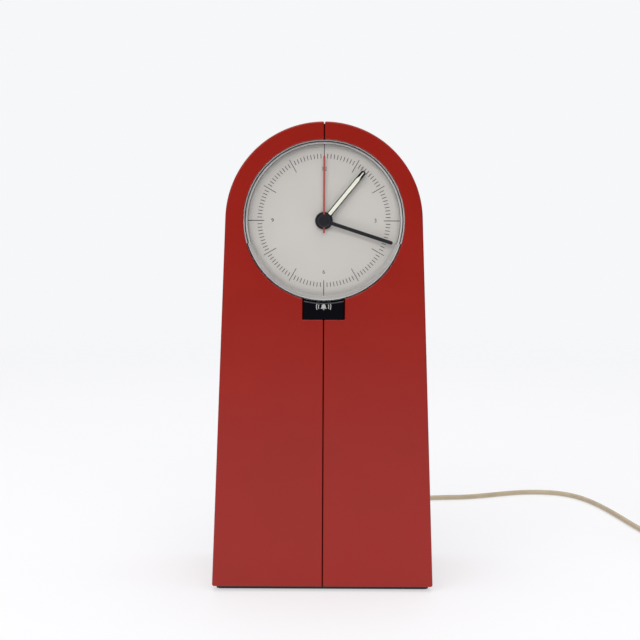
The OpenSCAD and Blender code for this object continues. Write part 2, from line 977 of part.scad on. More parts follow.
module cell_contacts() {
    plus_x = cell_len / 2 + 0.6;
    color("#b8bcc2") {
        block([plus_x, cell_y - 4, cell_z - 5], [plus_x + 0.4, cell_y + 4, cell_z + 5]);
        block([plus_x, cell_y - 4, cell_z - 5], [bay_x - 1.4, cell_y + 4, cell_z - 4.6]);
        block([-bay_x + 1.4, cell_y - 4, cell_z - 5], [-bay_x + 1.9, cell_y + 4, cell_z + 5]);
        translate([-bay_x + 1.9, cell_y, cell_z])
            rotate([0, 90, 0])
                difference() {
                    cylinder(r = 3.6, h = bay_x - 1.9 - cell_len / 2 + 0.8);
                    translate([0, 0, -1])
                        cylinder(r = 3, h = 10);
                }
    }
}

module battery_door() {
    pin_z = door_low + door_t / 2;
    color("#2a2a2e") {
        difference() {
            union() {
                block(
                    [-door_w / 2, panel_out - door_t, pin_z],
                    [door_w / 2, panel_out, door_low + door_h]
                );
                translate([-door_w / 2, pin_y, pin_z])
                    rotate([0, 90, 0])
                        cylinder(r = door_t / 2, h = door_w);
            }
            for (i = [-2 : 2])
                translate([0, 0, door_low + 12 + i * 1.4])
                    block([-8, panel_out - 0.4, 0], [8, panel_out + 1, 0.6]);
        }
        translate([-door_w / 2 - 1.1, pin_y, pin_z])
            rotate([0, 90, 0])
                cylinder(r = pin_hole_r - run, h = door_w + 2.2);
        // Snap at the top edge
        block([-4, bay_back + 0.2, door_low + door_h - 3], [4, pin_y, door_low + door_h - 2]);
    }
}

// ---- Alarm button ----

module alarm_button() {
    low = dial_z - button_drop;
    color("#16161c")
        difference() {
            union() {
                block(
                    [-button_w / 2, button_front, low],
                    [button_w / 2, flange_front + eps, dial_z - 30]
                );
                block(
                    [-button_w / 2 - 1, flange_front, low - 1.2],
                    [button_w / 2 + 1, flange_back, dial_z - 30]
                );
                post_y(stem_r, flange_back - eps, guide_back - 0.6, 0, button_z);
                post_y(tip_r, guide_back - 0.7, guide_back + 1.4, 0, button_z);
            }
            bar_y(opening_r + 0.5, button_front - 1, inner_front + 0.2);
            bar_y(opening_r + 1.9, inner_front, flange_back + 1);
        }
}

module button_spring() {
    turns = 5;
    free = guide_back - guide_t - flange_back;
    steps = 14;
    rise = (free - 2 * spring_wire - 0.1) / turns / steps;
    line = [
        for (i = [0 : turns * steps])
            [spring_r * cos(i * 360 / steps), flange_back + spring_wire + 0.05 + i * rise,
                button_z + spring_r * sin(i * 360 / steps)]
    ];
    color("#b8bcc2")
        tube(line, 2 * spring_wire, [0, 1, 0]);
}

module alarm_switch() {
    color("#3c3c44")
        difference() {
            block([-4.5, guide_back, button_z - 3.5], [4.5, guide_back + 6, button_z + 3.5]);
            post_y(tip_r + 0.1, guide_back - 1, guide_back + 4.2, 0, button_z);
            post_y(stem_r + 0.15, guide_back - 1, guide_back + button_travel - 0.3, 0, button_z);
        }
}

// ---- Radio ----

module radio_board() {
    color("#9a6a34")
        difference() {
            block(
                [-board_w / 2, board_y, board_low],
                [board_w / 2, board_y + board_t, board_low + board_h]
            );
            for (p = board_posts)
                post_y(screw_r + 0.1, board_y - 1, board_y + 3, p[0], p[1]);
        }
}

// Cans, capacitors and the amplifier chip on the radio board
module board_parts() {
    front = board_y;
    color("#c0c3c8") {
        for (x = [-28, -19.5, -11])
            block([x, front - 8, radio_z + 1], [x + 6.5, front, radio_z + 7.5]);
        for (x = [5, 14, 23])
            post_y(3, front - 11, front, x, radio_z + 4);
        block([2, front - 3.5, radio_z - 17], [20, front, radio_z - 11]);
    }
}

module tuning_capacitor() {
    color("#d9d5c8")
        difference() {
            translate([-radio_knob_x, 0, radio_z])
                block([-10, board_y + board_t, -10], [10, well_floor - 1.3, 10]);
            post_y(1.55, well_floor - 6, well_floor, -radio_knob_x, radio_z);
        }
}

module volume_control() {
    color("#8c8f94")
        difference() {
            post_y(8.5, board_y + board_t, well_floor - 1.3, radio_knob_x, radio_z);
            post_y(1.55, well_floor - 6, well_floor, radio_knob_x, radio_z);
        }
}

// Radio knob with the spindle that enters its control
module radio_knob(x) {
    knob(x, radio_z, radio_knob_r, 1.2, 36, 5);
    post_y(1.5, well_floor - 5, well_floor + 0.5, x, radio_z);
    post_y(1.2, well_floor, panel_out - 1.5, x, radio_z);
}

module tuning_knob() {
    color("#3a3a40")
        radio_knob(-radio_knob_x);
}

module volume_knob() {
    color("#3a3a40")
        radio_knob(radio_knob_x);
}

module function_switch() {
    color("#8c8f94")
        difference() {
            block([-8, board_y + board_t, radio_z - 3.5], [8, panel_in - 2, radio_z + 3.5]);
            block([-6.5, panel_in - 6, radio_z - 1.4], [6.5, panel_in, radio_z + 1.4]);
        }
}

module function_slider() {
    color("#3a3a40") {
        block([-4.7, panel_in - 5.8, radio_z - 1.1], [-1.7, panel_out - 0.1, radio_z + 1.1]);
        block([-6.3, panel_in - 5.8, radio_z - 1.2], [-0.1, panel_in - 2.6, radio_z + 1.2]);
    }
}

module ferrite_rod() {
    color("#3f3f44")
        translate([-rod_half, rod_y, rod_z])
            rotate([0, 90, 0])
                cylinder(r = rod_r, h = 2 * rod_half);
}

module aerial_coil() {
    color("#b5622e")
        difference() {
            translate([-12, rod_y, rod_z])
                rotate([0, 90, 0])
                    cylinder(r = rod_r + 1.2, h = 14);
            translate([-13, rod_y, rod_z])
                rotate([0, 90, 0])
                    cylinder(r = rod_r, h = 16);
        }
}

// Loudspeaker basket: a rim against the rear panel, a cone-shaped wall and a back plate
module speaker_frame() {
    color("#70747a")
        difference() {
            union() {
                post_y(speaker_r, speaker_back - rim_t, speaker_back, 0, speaker_z);
                translate([0, speaker_back - rim_t + eps, speaker_z])
                    rotate([90, 0, 0])
                        cylinder(r1 = speaker_r - 3, r2 = 14, h = 12);
            }
            translate([0, speaker_back - rim_t + 0.1, speaker_z])
                rotate([90, 0, 0])
                    cylinder(r1 = speaker_r - 4, r2 = 13, h = 11.2);
            post_y(speaker_r - 4, speaker_back - rim_t - 0.1, speaker_back + 1, 0, speaker_z);
            post_y(7, speaker_back - 20, speaker_back, 0, speaker_z);
        }
}

module speaker_magnet() {
    color("#2c2c30")
        post_y(14, speaker_back - rim_t - 20, speaker_back - rim_t - 12 + eps, 0, speaker_z);
}

module speaker_cone() {
    color("#3a3630")
        difference() {
            translate([0, speaker_back - rim_t - 0.3, speaker_z])
                rotate([90, 0, 0])
                    cylinder(r1 = speaker_r - 4.6, r2 = 6, h = 10);
            translate([0, speaker_back - rim_t + 0.2, speaker_z])
                rotate([90, 0, 0])
                    cylinder(r1 = speaker_r - 5.2, r2 = 5.2, h = 10);
        }
}

// ---- Screws ----

// Screw from its head's face, pointing along dir with a shank of the given length
module screw(at, turn, length) {
    translate(at)
        rotate(turn)
            difference() {
                union() {
                    cylinder(r = head_r, h = 1);
                    cylinder(r = screw_r, h = length);
                }
                translate([0, 0, -eps])
                    for (a = [0, 90])
                        rotate(a)
                            translate([-1.2, -0.2, 0])
                                cube([2.4, 0.4, 0.6]);
            }
}

module screws() {
    color("#b8bcc2") {
        for (p = board_posts)
            screw([p[0], board_y - 1, p[1]], [-90, 0, 0], 8);
        for (a = frame_boss_dirs)
            translate([0, frame_back + 1, dial_z])
                screw([frame_boss_at * cos(a), 0, frame_boss_at * sin(a)], [90, 0, 0], 5.5);
        for (sx = [-1, 1]) {
            screw([sx * tab_x, frame_back + plate_t + 1, dial_z], [90, 0, 0], 4);
            for (sy = [-1, 1])
                screw([sx * base_boss[0], sy * base_boss[1], 1], [0, 0, 0], 10);
            for (b = panel_boss)
                screw([sx * b[0], panel_out, b[1]], [90, 0, 0], 10);
        }
    }
}

// ---- Cord ----

module strain_relief() {
    color("#2a2a2e")
        translate([cord_x, panel_out, cord_z])
            rotate([-90, 0, 0]) {
                translate([0, 0, -panel_t])
                    cylinder(r = 3.9, h = panel_t);
                cylinder(r = 5, h = 1.5);
                difference() {
                    cylinder(r1 = 3.4, r2 = 2, h = relief_len);
                    for (i = [0 : 5])
                        translate([0, 0, 4 + i * 2.6])
                            difference() {
                                cylinder(r = 5, h = 1);
                                cylinder(r = 1.6, h = 1);
                            }
                }
            }
}

module power_cord() {
    line = [
        for (i = [0 : len(route) - 2])
            for (t = [0, 0.5])
                on_route(route, i, t),
        route[len(route) - 1]
    ];
    color("#b6a78e")
        tube(line, cord_d);
}

module cord_coil() {
    color("#b6a78e")
        translate([coil_at[0], coil_at[1], tie_t])
            rotate_extrude()
                translate([coil_r - coil_w / 2, 0])
                    square([coil_w, coil_h]);
}

module cord_tie() {
    low = coil_r - coil_w / 2;
    color("#232327")
        translate([coil_at[0], coil_at[1], 0])
            rotate(tie_dir)
                difference() {
                    block([low - tie_t, -2, 0], [low + coil_w + tie_t, 2, coil_h + 2 * tie_t]);
                    translate([0, 0, tie_t])
                        rotate_extrude()
                            translate([low, 0])
                                square([coil_w, coil_h]);
                }
}

module adapter_case() {
    half = [adapter_w / 2, adapter_l / 2];
    corner = 4;
    color("#232327") {
        // Boot where the cord enters
        translate([boot_x, adapter_at[1] - half[1] + eps, boot_z])
            rotate([90, 0, 0])
                cylinder(r1 = 3.2, r2 = 2, h = boot_len);
        translate([adapter_at[0], adapter_at[1], 0])
            difference() {
                linear_extrude(adapter_h) {
                    square([2 * half[0], 2 * (half[1] - corner)], center = true);
                    square([2 * (half[0] - corner), 2 * half[1]], center = true);
                    for (sx = [-1, 1])
                        for (sy = [-1, 1])
                            translate([sx * (half[0] - corner), sy * (half[1] - corner)])
                                circle(corner);
                }
                translate([0, 0, 2])
                    linear_extrude(adapter_h - 4)
                        square([2 * half[0] - 4, 2 * half[1] - 4], center = true);
            }
    }
}

module adapter_pins() {
    color("#c8ccd2")
        for (s = [-1, 1])
            translate([adapter_at[0] + s * pin_gap / 2, adapter_at[1] + adapter_l / 2, adapter_h / 2])
                rotate([-90, 0, 0])
                    cylinder(r = pin_r, h = pin_len);
}

left_shell();
right_shell();
rear_panel();
base_plate();
rubber_feet();
dial_frame();
dial_plate();
lens();
lens_gasket();
alarm_hand_hub();
alarm_hand();
hour_hand();
hour_lume();
minute_hand();
centre_cap();
movement_front();
middle_plate();
movement_back();
cannon_pinion();
minute_wheel();
hour_wheel();
alarm_wheel();
centre_wheel();
third_wheel();
intermediate_wheel();
rotor();
stator();
coil_core();
drive_coil();
quartz_board();
time_shaft();
time_knob();
alarm_shaft();
alarm_knob();
clock_cell();
cell_contacts();
battery_door();
alarm_button();
button_spring();
alarm_switch();
radio_board();
board_parts();
tuning_capacitor();
tuning_knob();
volume_control();
volume_knob();
function_switch();
function_slider();
ferrite_rod();
aerial_coil();
speaker_frame();
speaker_magnet();
speaker_cone();
screws();
strain_relief();
power_cord();
cord_coil();
cord_tie();
adapter_case();
adapter_pins();
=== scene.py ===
"""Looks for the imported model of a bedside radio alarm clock, in metres and in the model's own frame."""

import json
import math

import bmesh
import bpy
from mathutils import Matrix, Vector


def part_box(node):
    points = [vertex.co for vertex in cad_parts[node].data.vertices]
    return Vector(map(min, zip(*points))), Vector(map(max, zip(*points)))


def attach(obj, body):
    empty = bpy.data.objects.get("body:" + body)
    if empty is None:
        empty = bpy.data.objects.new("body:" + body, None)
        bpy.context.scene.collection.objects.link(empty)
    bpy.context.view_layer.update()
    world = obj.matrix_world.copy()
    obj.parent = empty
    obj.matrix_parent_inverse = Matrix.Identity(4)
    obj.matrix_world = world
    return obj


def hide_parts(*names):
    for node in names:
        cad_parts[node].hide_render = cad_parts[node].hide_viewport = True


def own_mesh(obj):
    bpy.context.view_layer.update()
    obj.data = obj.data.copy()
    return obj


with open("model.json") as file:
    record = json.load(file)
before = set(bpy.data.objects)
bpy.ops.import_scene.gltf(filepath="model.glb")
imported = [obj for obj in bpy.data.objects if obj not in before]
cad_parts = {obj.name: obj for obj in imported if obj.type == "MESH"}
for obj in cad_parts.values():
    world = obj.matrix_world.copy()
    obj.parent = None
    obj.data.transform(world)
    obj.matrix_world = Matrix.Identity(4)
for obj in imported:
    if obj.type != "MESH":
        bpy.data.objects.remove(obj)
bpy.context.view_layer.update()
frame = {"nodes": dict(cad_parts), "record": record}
nodes = frame["nodes"]

MM = 0.001
WHOLE_TURN = 2 * math.pi


def mm(*values):
    """Millimetres as metres: one number, or a point."""
    return values[0] * MM if len(values) == 1 else Vector(v * MM for v in values)


# ---- Driving places, from the frame where it has them ----
case_low, case_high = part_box("left_shell")[0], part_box("right_shell")[1]
dial_low, dial_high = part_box("dial_plate")
DIAL_Z = (dial_low.z + dial_high.z) / 2
DIAL_R = (dial_high.x - dial_low.x) / 2
DIAL_FACE = dial_low.y
FRONT, BACK = case_low.y, case_high.y
TOP, SHELL_Z = case_high.z, case_low.z
FOOT_X = case_high.x
ARCH_R = TOP - DIAL_Z
WALL = mm(2.4)
SEAM_X = mm(0.2)  # half of the seam between the shells
OPENING_R = mm(32.8)
PANEL_INSET = mm(6)
PANEL_LOW = mm(7.5)
button_low, button_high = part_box("alarm_button")
BUTTON_FRONT, BUTTON_BACK = button_low.y, button_high.y
BUTTON_X = mm(8.4)
BUTTON_LOW = DIAL_Z - mm(39.9)
BUTTON_GAP = mm(0.25)
LENS_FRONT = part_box("lens")[0].y


# ---- Camera ----
EYE = mm(-1.45, -632.5, 167.4)
LOOK_DOWN = math.radians(5.2)
ROLL = math.radians(0.27)
SENSOR, LENS = 36, 83.3


def make_camera():
    """The camera at the photograph's place, with a lens given for a sensor of the usual width."""
    data = bpy.data.cameras.new("camera")
    data.sensor_width = SENSOR
    data.lens = LENS
    data.clip_start = 0.02
    camera = bpy.data.objects.new("camera", data)
    camera.location = EYE
    ahead = Vector((0, math.cos(LOOK_DOWN), -math.sin(LOOK_DOWN)))
    turn = ahead.to_track_quat("-Z", "Y").to_matrix() @ Matrix.Rotation(ROLL, 3, "Z")
    camera.rotation_euler = turn.to_euler()
    bpy.context.scene.collection.objects.link(camera)
    bpy.context.scene.camera = camera


make_camera()


# ---- Materials ----
def link(tree, a, b):
    tree.links.new(a, b)


def add_node(tree, kind, settings=None):
    """A shader node with the given values on its sockets."""
    node = tree.nodes.new("ShaderNode" + kind)
    for socket, value in (settings or {}).items():
        node.inputs[socket].default_value = value
    return node


def new_shader(name, settings):
    """A new material's node tree and its shader, with the given values on the shader's sockets."""
    material = bpy.data.materials.new(name)
    material.use_nodes = True
    shader = material.node_tree.nodes["Principled BSDF"]
    for socket, value in settings.items():
        shader.inputs[socket].default_value = value
    return material, material.node_tree, shader


def add_relief(tree, shader, place, scale, detail, strength, depth):
    """Fine grain on the surface from noise, its height depth in millimetres."""
    fine = add_node(tree, "TexNoise", {"Scale": scale, "Detail": detail})
    link(tree, place, fine.inputs["Vector"])
    relief = add_node(tree, "Bump", {"Strength": strength, "Distance": mm(depth)})
    link(tree, fine.outputs["Fac"], relief.inputs["Height"])
    link(tree, relief.outputs["Normal"], shader.inputs["Normal"])


ROUGH_VARY = 0.06


def surface(
    name, colour, rough=0.5, metallic=0.0, tint=0.05, blotch=30.0, grain=1500.0, bump=0.15, depth=0.02,
    coat=0.0, stretch=(1, 1, 1), specular=0.5,
):
    """A material with a little colour variation, uneven gloss and a fine grain, all in object space.
    blotch and grain are noise scales per metre, depth is the grain's height in millimetres and stretch
    draws the noise out."""
    settings = {"Metallic": metallic, "Coat Weight": coat, "Specular IOR Level": specular}
    material, tree, shader = new_shader(name, settings)
    coord = add_node(tree, "TexCoord")
    mapping = add_node(tree, "Mapping", {"Scale": stretch})
    link(tree, coord.outputs["Object"], mapping.inputs["Vector"])

    cloud = add_node(tree, "TexNoise", {"Scale": blotch, "Detail": 4})
    link(tree, mapping.outputs["Vector"], cloud.inputs["Vector"])
    ramp = add_node(tree, "ValToRGB")
    darker, lighter = ramp.color_ramp.elements
    darker.position, lighter.position = 0.3, 0.7
    darker.color = [c * (1 - tint) for c in colour] + [1]
    lighter.color = [min(c * (1 + tint), 1) for c in colour] + [1]
    link(tree, cloud.outputs["Fac"], ramp.inputs["Fac"])
    link(tree, ramp.outputs["Color"], shader.inputs["Base Color"])

    smoothest, roughest = max(rough - ROUGH_VARY, 0.02), min(rough + ROUGH_VARY, 1)
    gloss = add_node(tree, "MapRange", {"To Min": smoothest, "To Max": roughest})
    link(tree, cloud.outputs["Fac"], gloss.inputs["Value"])
    link(tree, gloss.outputs["Result"], shader.inputs["Roughness"])
    add_relief(tree, shader, mapping.outputs["Vector"], grain, detail=3, strength=bump, depth=depth)
    return material


SLANT_POWER, SLANT_SHARE = 5, 0.9


def clear(name, rough, colour, face_share):
    """Clear plastic: it reflects face_share of what it faces, and up to SLANT_SHARE at a slant."""
    settings = {"Base Color": colour + [1], "Roughness": rough, "Metallic": 1.0}
    material, tree, shader = new_shader(name, settings)
    facing = add_node(tree, "LayerWeight", {"Blend": 0.5})
    steep = add_node(tree, "Math", {1: SLANT_POWER})
    steep.operation = "POWER"
    link(tree, facing.outputs["Facing"], steep.inputs[0])
    share = add_node(tree, "MapRange", {"To Min": face_share, "To Max": SLANT_SHARE})
    link(tree, steep.outputs["Value"], share.inputs["Value"])
    link(tree, share.outputs["Result"], shader.inputs["Alpha"])
    coord = add_node(tree, "TexCoord")
    add_relief(tree, shader, coord.outputs["Object"], scale=60, detail=2, strength=0.05, depth=0.02)
    return material


SURFACES = {
    "red_case": dict(colour=[0.288, 0.0074, 0.0020], rough=0.3, blotch=22, grain=2600, specular=0.42),
    "rear_black": dict(colour=[0.018, 0.018, 0.02], rough=0.55, grain=1900, bump=0.5, depth=0.05),
    "base_black": dict(colour=[0.012, 0.012, 0.014], rough=0.6, bump=0.4, depth=0.04),
    "foot_rubber": dict(
        colour=[0.02, 0.02, 0.022], rough=0.85, grain=900, bump=0.5, depth=0.05, specular=0.3,
    ),
    "frame_black": dict(colour=[0.012, 0.012, 0.014], rough=0.6, bump=0.3),
    "dial_white": dict(
        colour=[0.655, 0.63, 0.595], rough=0.7, tint=0.02, blotch=45, grain=3000, bump=0.1, depth=0.01,
    ),
    "gasket_black": dict(colour=[0.02, 0.02, 0.024], rough=0.5, bump=0.2),
    "hand_black": dict(colour=[0.008, 0.008, 0.012], rough=0.38, grain=2500, depth=0.01),
    "hand_red": dict(colour=[0.44, 0.09, 0.07], rough=0.45, grain=2500, bump=0.1, depth=0.01),
    "lume": dict(colour=[0.93, 0.92, 0.80], rough=0.9, tint=0.04, blotch=300, grain=5000, bump=0.3),
    "cap_black": dict(colour=[0.011, 0.010, 0.016], rough=0.3, bump=0.1, depth=0.01),
    "movement_plastic": dict(colour=[0.62, 0.62, 0.59], rough=0.5, bump=0.2),
    "wheel_plastic": dict(colour=[0.78, 0.74, 0.6], rough=0.42, bump=0.1),
    "wheel_red": dict(colour=[0.55, 0.12, 0.06], rough=0.42, bump=0.1),
    "wheel_brass": dict(colour=[0.72, 0.53, 0.22], rough=0.3, metallic=1.0, bump=0.1, grain=2500),
    "rotor_magnet": dict(colour=[0.10, 0.10, 0.11], rough=0.45, metallic=0.6, bump=0.2),
    "soft_iron": dict(colour=[0.42, 0.43, 0.45], rough=0.38, metallic=1.0, bump=0.2, stretch=(1, 1, 8)),
    "copper_wire": dict(
        colour=[0.55, 0.2, 0.07], rough=0.35, metallic=1.0, grain=900, bump=0.6, depth=0.1,
        stretch=(14, 1, 1),
    ),
    "board_green": dict(colour=[0.03, 0.15, 0.06], rough=0.35, bump=0.1),
    "board_brown": dict(colour=[0.27, 0.14, 0.055], rough=0.5, grain=800, bump=0.2, stretch=(1, 1, 5)),
    "knob_grey": dict(colour=[0.04, 0.04, 0.045], rough=0.4, grain=1900, bump=0.25),
    "knob_red": dict(colour=[0.26, 0.012, 0.006], rough=0.42, grain=1900, bump=0.25),
    "cell_wrap": dict(colour=[0.08, 0.17, 0.24], rough=0.25, metallic=0.3, bump=0.1, coat=0.4),
    "plated_steel": dict(colour=[0.6, 0.61, 0.62], rough=0.28, metallic=1.0, grain=1800),
    "button_black": dict(
        colour=[0.002, 0.002, 0.004], rough=0.25, grain=2300, bump=0.08, depth=0.01, specular=0.08,
    ),
    "switch_grey": dict(colour=[0.28, 0.27, 0.24], rough=0.5, bump=0.2),
    "part_cans": dict(colour=[0.58, 0.59, 0.6], rough=0.32, metallic=1.0),
    "ferrite": dict(colour=[0.045, 0.045, 0.05], rough=0.5, metallic=0.2, grain=1200, bump=0.4, depth=0.04),
    "cone_paper": dict(colour=[0.05, 0.045, 0.04], rough=0.9, grain=700, bump=0.6, depth=0.08, specular=0.2),
    "cord_pvc": dict(
        colour=[0.50, 0.41, 0.285], rough=0.5, tint=0.08, blotch=160, grain=900, bump=0.25, depth=0.04,
    ),
    "adapter_black": dict(colour=[0.016, 0.016, 0.018], rough=0.5, grain=1700, bump=0.5, depth=0.05),
    "pin_nickel": dict(colour=[0.63, 0.6, 0.55], rough=0.25, metallic=1.0, bump=0.1),
}
MATERIALS = {name: surface(name, **look) for name, look in SURFACES.items()}
MATERIALS["clear_lens"] = clear("clear_lens", rough=0.04, colour=[0.95, 0.95, 0.95], face_share=0.035)
# Opaque pale grey for the lens's rim and inner wall: painted highlight of the clear plastic's edges.
LENS_PAINTED_HIGHLIGHT = surface("lens_painted_highlight", [0.72, 0.715, 0.70], 0.22, tint=0.1, blotch=120, bump=0.1)
# Grey for the lens's thicker lower band: painted reflection of the clear plastic's inner wall.
LENS_BAND_REFLECTION = surface("lens_band_painted_reflection", [0.47, 0.46, 0.445], 0.2, tint=0.12, blotch=120, bump=0.1)
# Dark grey a little lighter than the button, for the strip along its top edge: painted highlight.
BUTTON_HIGHLIGHT = surface("button_painted_highlight", [0.05, 0.047, 0.052], 0.3, bump=0.1, depth=0.01)
SEAM_SHADE = surface("seam_shade", [0.012, 0.002, 0.002], 0.6, bump=0.1, specular=0.1)
WHITE_PRINT = surface("white_print", [0.78, 0.78, 0.76], 0.6, bump=0.05, depth=0.005)
DIAL_PRINT = surface("dial_print", [0.03, 0.03, 0.034], 0.6, tint=0.1, blotch=600, bump=0.05, depth=0.005)
GREY_PRINT = surface("grey_print", [0.42, 0.42, 0.41], 0.6, bump=0.05, depth=0.005)


# ---- Helpers for pieces ----
SAME_PLACE = 1e-7
WELD_GAP = 1e-6
FLAT_WITHIN = math.radians(0.4)
ROUND_FROM = math.radians(32)
CREASE_FROM = math.radians(40)


def add_object(name, data):
    """A new object with this data, in the scene."""
    made = bpy.data.objects.new(name, data)
    bpy.context.scene.collection.objects.link(made)
    return made


def add_mesh(name, verts, faces):
    data = bpy.data.meshes.new(name)
    data.from_pydata([tuple(v) for v in verts], [], faces)
    data.update()
    return add_object(name, data)


def face_outwards(piece):
    """Turns every face of a closed mesh to look outwards."""
    work = bmesh.new()
    work.from_mesh(piece.data)
    bmesh.ops.recalc_face_normals(work, faces=work.faces)
    work.to_mesh(piece.data)
    work.free()


def tidy(piece, sharp=35.0):
    """Outward normals, smooth shading with creases over sharp degrees, and flat faces kept flat."""
    data = piece.data
    work = bmesh.new()
    work.from_mesh(data)
    bmesh.ops.remove_doubles(work, verts=work.verts, dist=SAME_PLACE)
    bmesh.ops.recalc_face_normals(work, faces=work.faces)
    limit = math.radians(sharp)
    for edge in work.edges:
        edge.smooth = len(edge.link_faces) == 2 and edge.calc_face_angle(0) < limit
    for face in work.faces:
        face.smooth = True
    work.to_mesh(data)
    work.free()
    weigh(piece)


def weigh(piece):
    """Normals weighted by face size, so that flat faces look flat."""
    weights = piece.modifiers.new("even_normals", "WEIGHTED_NORMAL")
    weights.keep_sharp = True


def put(piece, body, slot, *stands_for, material=None):
    """Gives a piece its material, its own or the one of its record slot, and its body, and hides the CAD
    nodes it stands for.
    """
    piece.data.materials.clear()
    piece.data.materials.append(material or MATERIALS[slot])
    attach(piece, body)
    if stands_for:
        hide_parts(*stands_for)


def bake(piece):
    """Applies a piece's modifiers to its mesh."""
    data = evaluated_mesh(piece)
    piece.modifiers.clear()
    old, piece.data = piece.data, data
    bpy.data.meshes.remove(old)


def combine(piece, other, how):
    """Cuts other from piece, or keeps what they share; other is used up."""
    change = piece.modifiers.new(how, "BOOLEAN")
    change.operation = how
    change.solver = "EXACT"
    change.object = other
    bake(piece)
    bpy.data.objects.remove(other)


def soften(name, width, segments=2):
    """Rounds a CAD node's edges by width millimetres with modifiers, leaving its vertices where they are."""
    piece = nodes[name]
    for face in piece.data.polygons:
        face.use_smooth = True
    weld = piece.modifiers.new("weld", "WELD")
    weld.merge_threshold = WELD_GAP
    flatten = piece.modifiers.new("flatten", "DECIMATE")
    flatten.decimate_type = "DISSOLVE"
    flatten.angle_limit = FLAT_WITHIN
    if width > 0:
        edges = piece.modifiers.new("edges", "BEVEL")
        edges.width = mm(width)
        edges.segments = segments
        edges.limit_method = "ANGLE"
        edges.angle_limit = ROUND_FROM
        edges.use_clamp_overlap = True
    split = piece.modifiers.new("creases", "EDGE_SPLIT")
    split.split_angle = CREASE_FROM
    weigh(piece)


def evaluated_mesh(made):
    """The mesh of an object as it shows, with its modifiers or its letters turned into faces."""
    bpy.context.view_layer.update()
    return bpy.data.meshes.new_from_object(made.evaluated_get(bpy.context.evaluated_depsgraph_get()))


# ---- Outlines, as (x, z) points ----
SIDE_DROP = DIAL_Z - SHELL_Z
SIDE_LEAN = math.acos(ARCH_R / math.hypot(FOOT_X, SIDE_DROP)) - math.atan2(SIDE_DROP, FOOT_X)
CORNER_STEPS = 5
SHARPEST = 0.3  # keeps a sharp corner of an outline from moving too far inwards


def arc(radius, start, end, step=2.0):
    """Points on a circle about the dial's middle, angles in degrees from +X."""
    count = max(2, round(abs(end - start) / step))
    return [
        (radius * math.cos(math.radians(a)), DIAL_Z + radius * math.sin(math.radians(a)))
        for a in [start + (end - start) * i / count for i in range(count + 1)]
    ]


def side_foot(inset, low):
    """Where the leaning side, drawn inwards by inset, comes down to the height low."""
    reach = ARCH_R - inset
    return reach / math.cos(SIDE_LEAN) + (DIAL_Z - low) * math.tan(SIDE_LEAN)


def half_outline(inset, low, from_x):
    """Right half of the case's outline drawn inwards by inset, from x = from_x, clockwise from the top."""
    reach = ARCH_R - inset
    top = math.degrees(math.acos(from_x / reach))
    return arc(reach, top, math.degrees(SIDE_LEAN)) + [(side_foot(inset, low), low), (from_x, low)]


def rounded(points, radii, edge_insets):
    """Rounds the corners of an outline. radii maps a point's index to its radius, and edge_insets gives for
    each point the inset of the edge that leaves it. Returns the new points and each one's inset."""
    out, insets = [], []
    count = len(points)
    for i, here in enumerate(points):
        before, after = edge_insets[i - 1], edge_insets[i]
        radius = radii.get(i, 0)
        p = Vector(here)
        a, b = Vector(points[i - 1]) - p, Vector(points[(i + 1) % count]) - p
        if radius <= 0:
            out.append(tuple(p))
            insets.append((before + after) / 2)
            continue
        a.normalize()
        b.normalize()
        half = a.angle(b) / 2
        reach = radius / math.tan(half)
        centre = p + (a + b).normalized() * radius / math.sin(half)
        start, end = p + a * reach - centre, p + b * reach - centre
        turn = start.angle_signed(end)
        for k in range(CORNER_STEPS + 1):
            share = k / CORNER_STEPS
            spin = Matrix.Rotation(-turn * share, 2)
            out.append(tuple(centre + spin @ start))
            insets.append(before + (after - before) * share)
    return out, insets


def drawn_in(points, insets, share):
    """The clockwise outline moved inwards by share of each point's own inset."""
    count = len(points)
    moved = []
    for i, here in enumerate(points):
        p, a, b = Vector(here), Vector(points[i - 1]), Vector(points[(i + 1) % count])
        before, after = (p - a).normalized(), (b - p).normalized()
        inward_a, inward_b = Vector((before.y, -before.x)), Vector((after.y, -after.x))
        both = inward_a + inward_b
        both.normalize()
        moved.append(tuple(p + both * insets[i] * share / max(both.dot(inward_a), SHARPEST)))
    return moved


def prism(name, points, insets, front, back, steps=4, round_back=True):
    """Closed solid between two planes of Y, its front and back edges rounded by each point's inset."""
    angles = [math.pi / 2 * k / max(steps, 1) for k in range(steps + 1)]
    quarter = [(1 - math.sin(a), 1 - math.cos(a)) for a in angles]
    rings = [(front, *turn) for turn in quarter] if steps else [(front, 0, 0)]
    rings += [(back, *turn) for turn in reversed(quarter)] if steps and round_back else [(back, 0, 0)]
    verts, count = [], len(points)
    for plane, share, deep in rings:
        sign = 1 if plane == front else -1
        line = drawn_in(points, insets, share)
        verts += [(x, plane + sign * insets[i] * deep, z) for i, (x, z) in enumerate(line)]
    faces = []
    for r in range(len(rings) - 1):
        for i in range(count):
            j = (i + 1) % count
            faces.append((r * count + i, r * count + j, (r + 1) * count + j, (r + 1) * count + i))
    faces.append(tuple(range(count)))
    faces.append(tuple(range((len(rings) - 1) * count, len(rings) * count)))
    piece = add_mesh(name, verts, faces)
    face_outwards(piece)
    return piece


def slab(name, points, front, back):
    """A plain prism, for cutting."""
    return prism(name, points, [0.0] * len(points), front, back, steps=0, round_back=False)


def box_piece(name, low, high):
    """A box between two corners, for cutting."""
    corners = [(low[0], low[2]), (low[0], high[2]), (high[0], high[2]), (high[0], low[2])]
    return slab(name, corners, low[1], high[1])


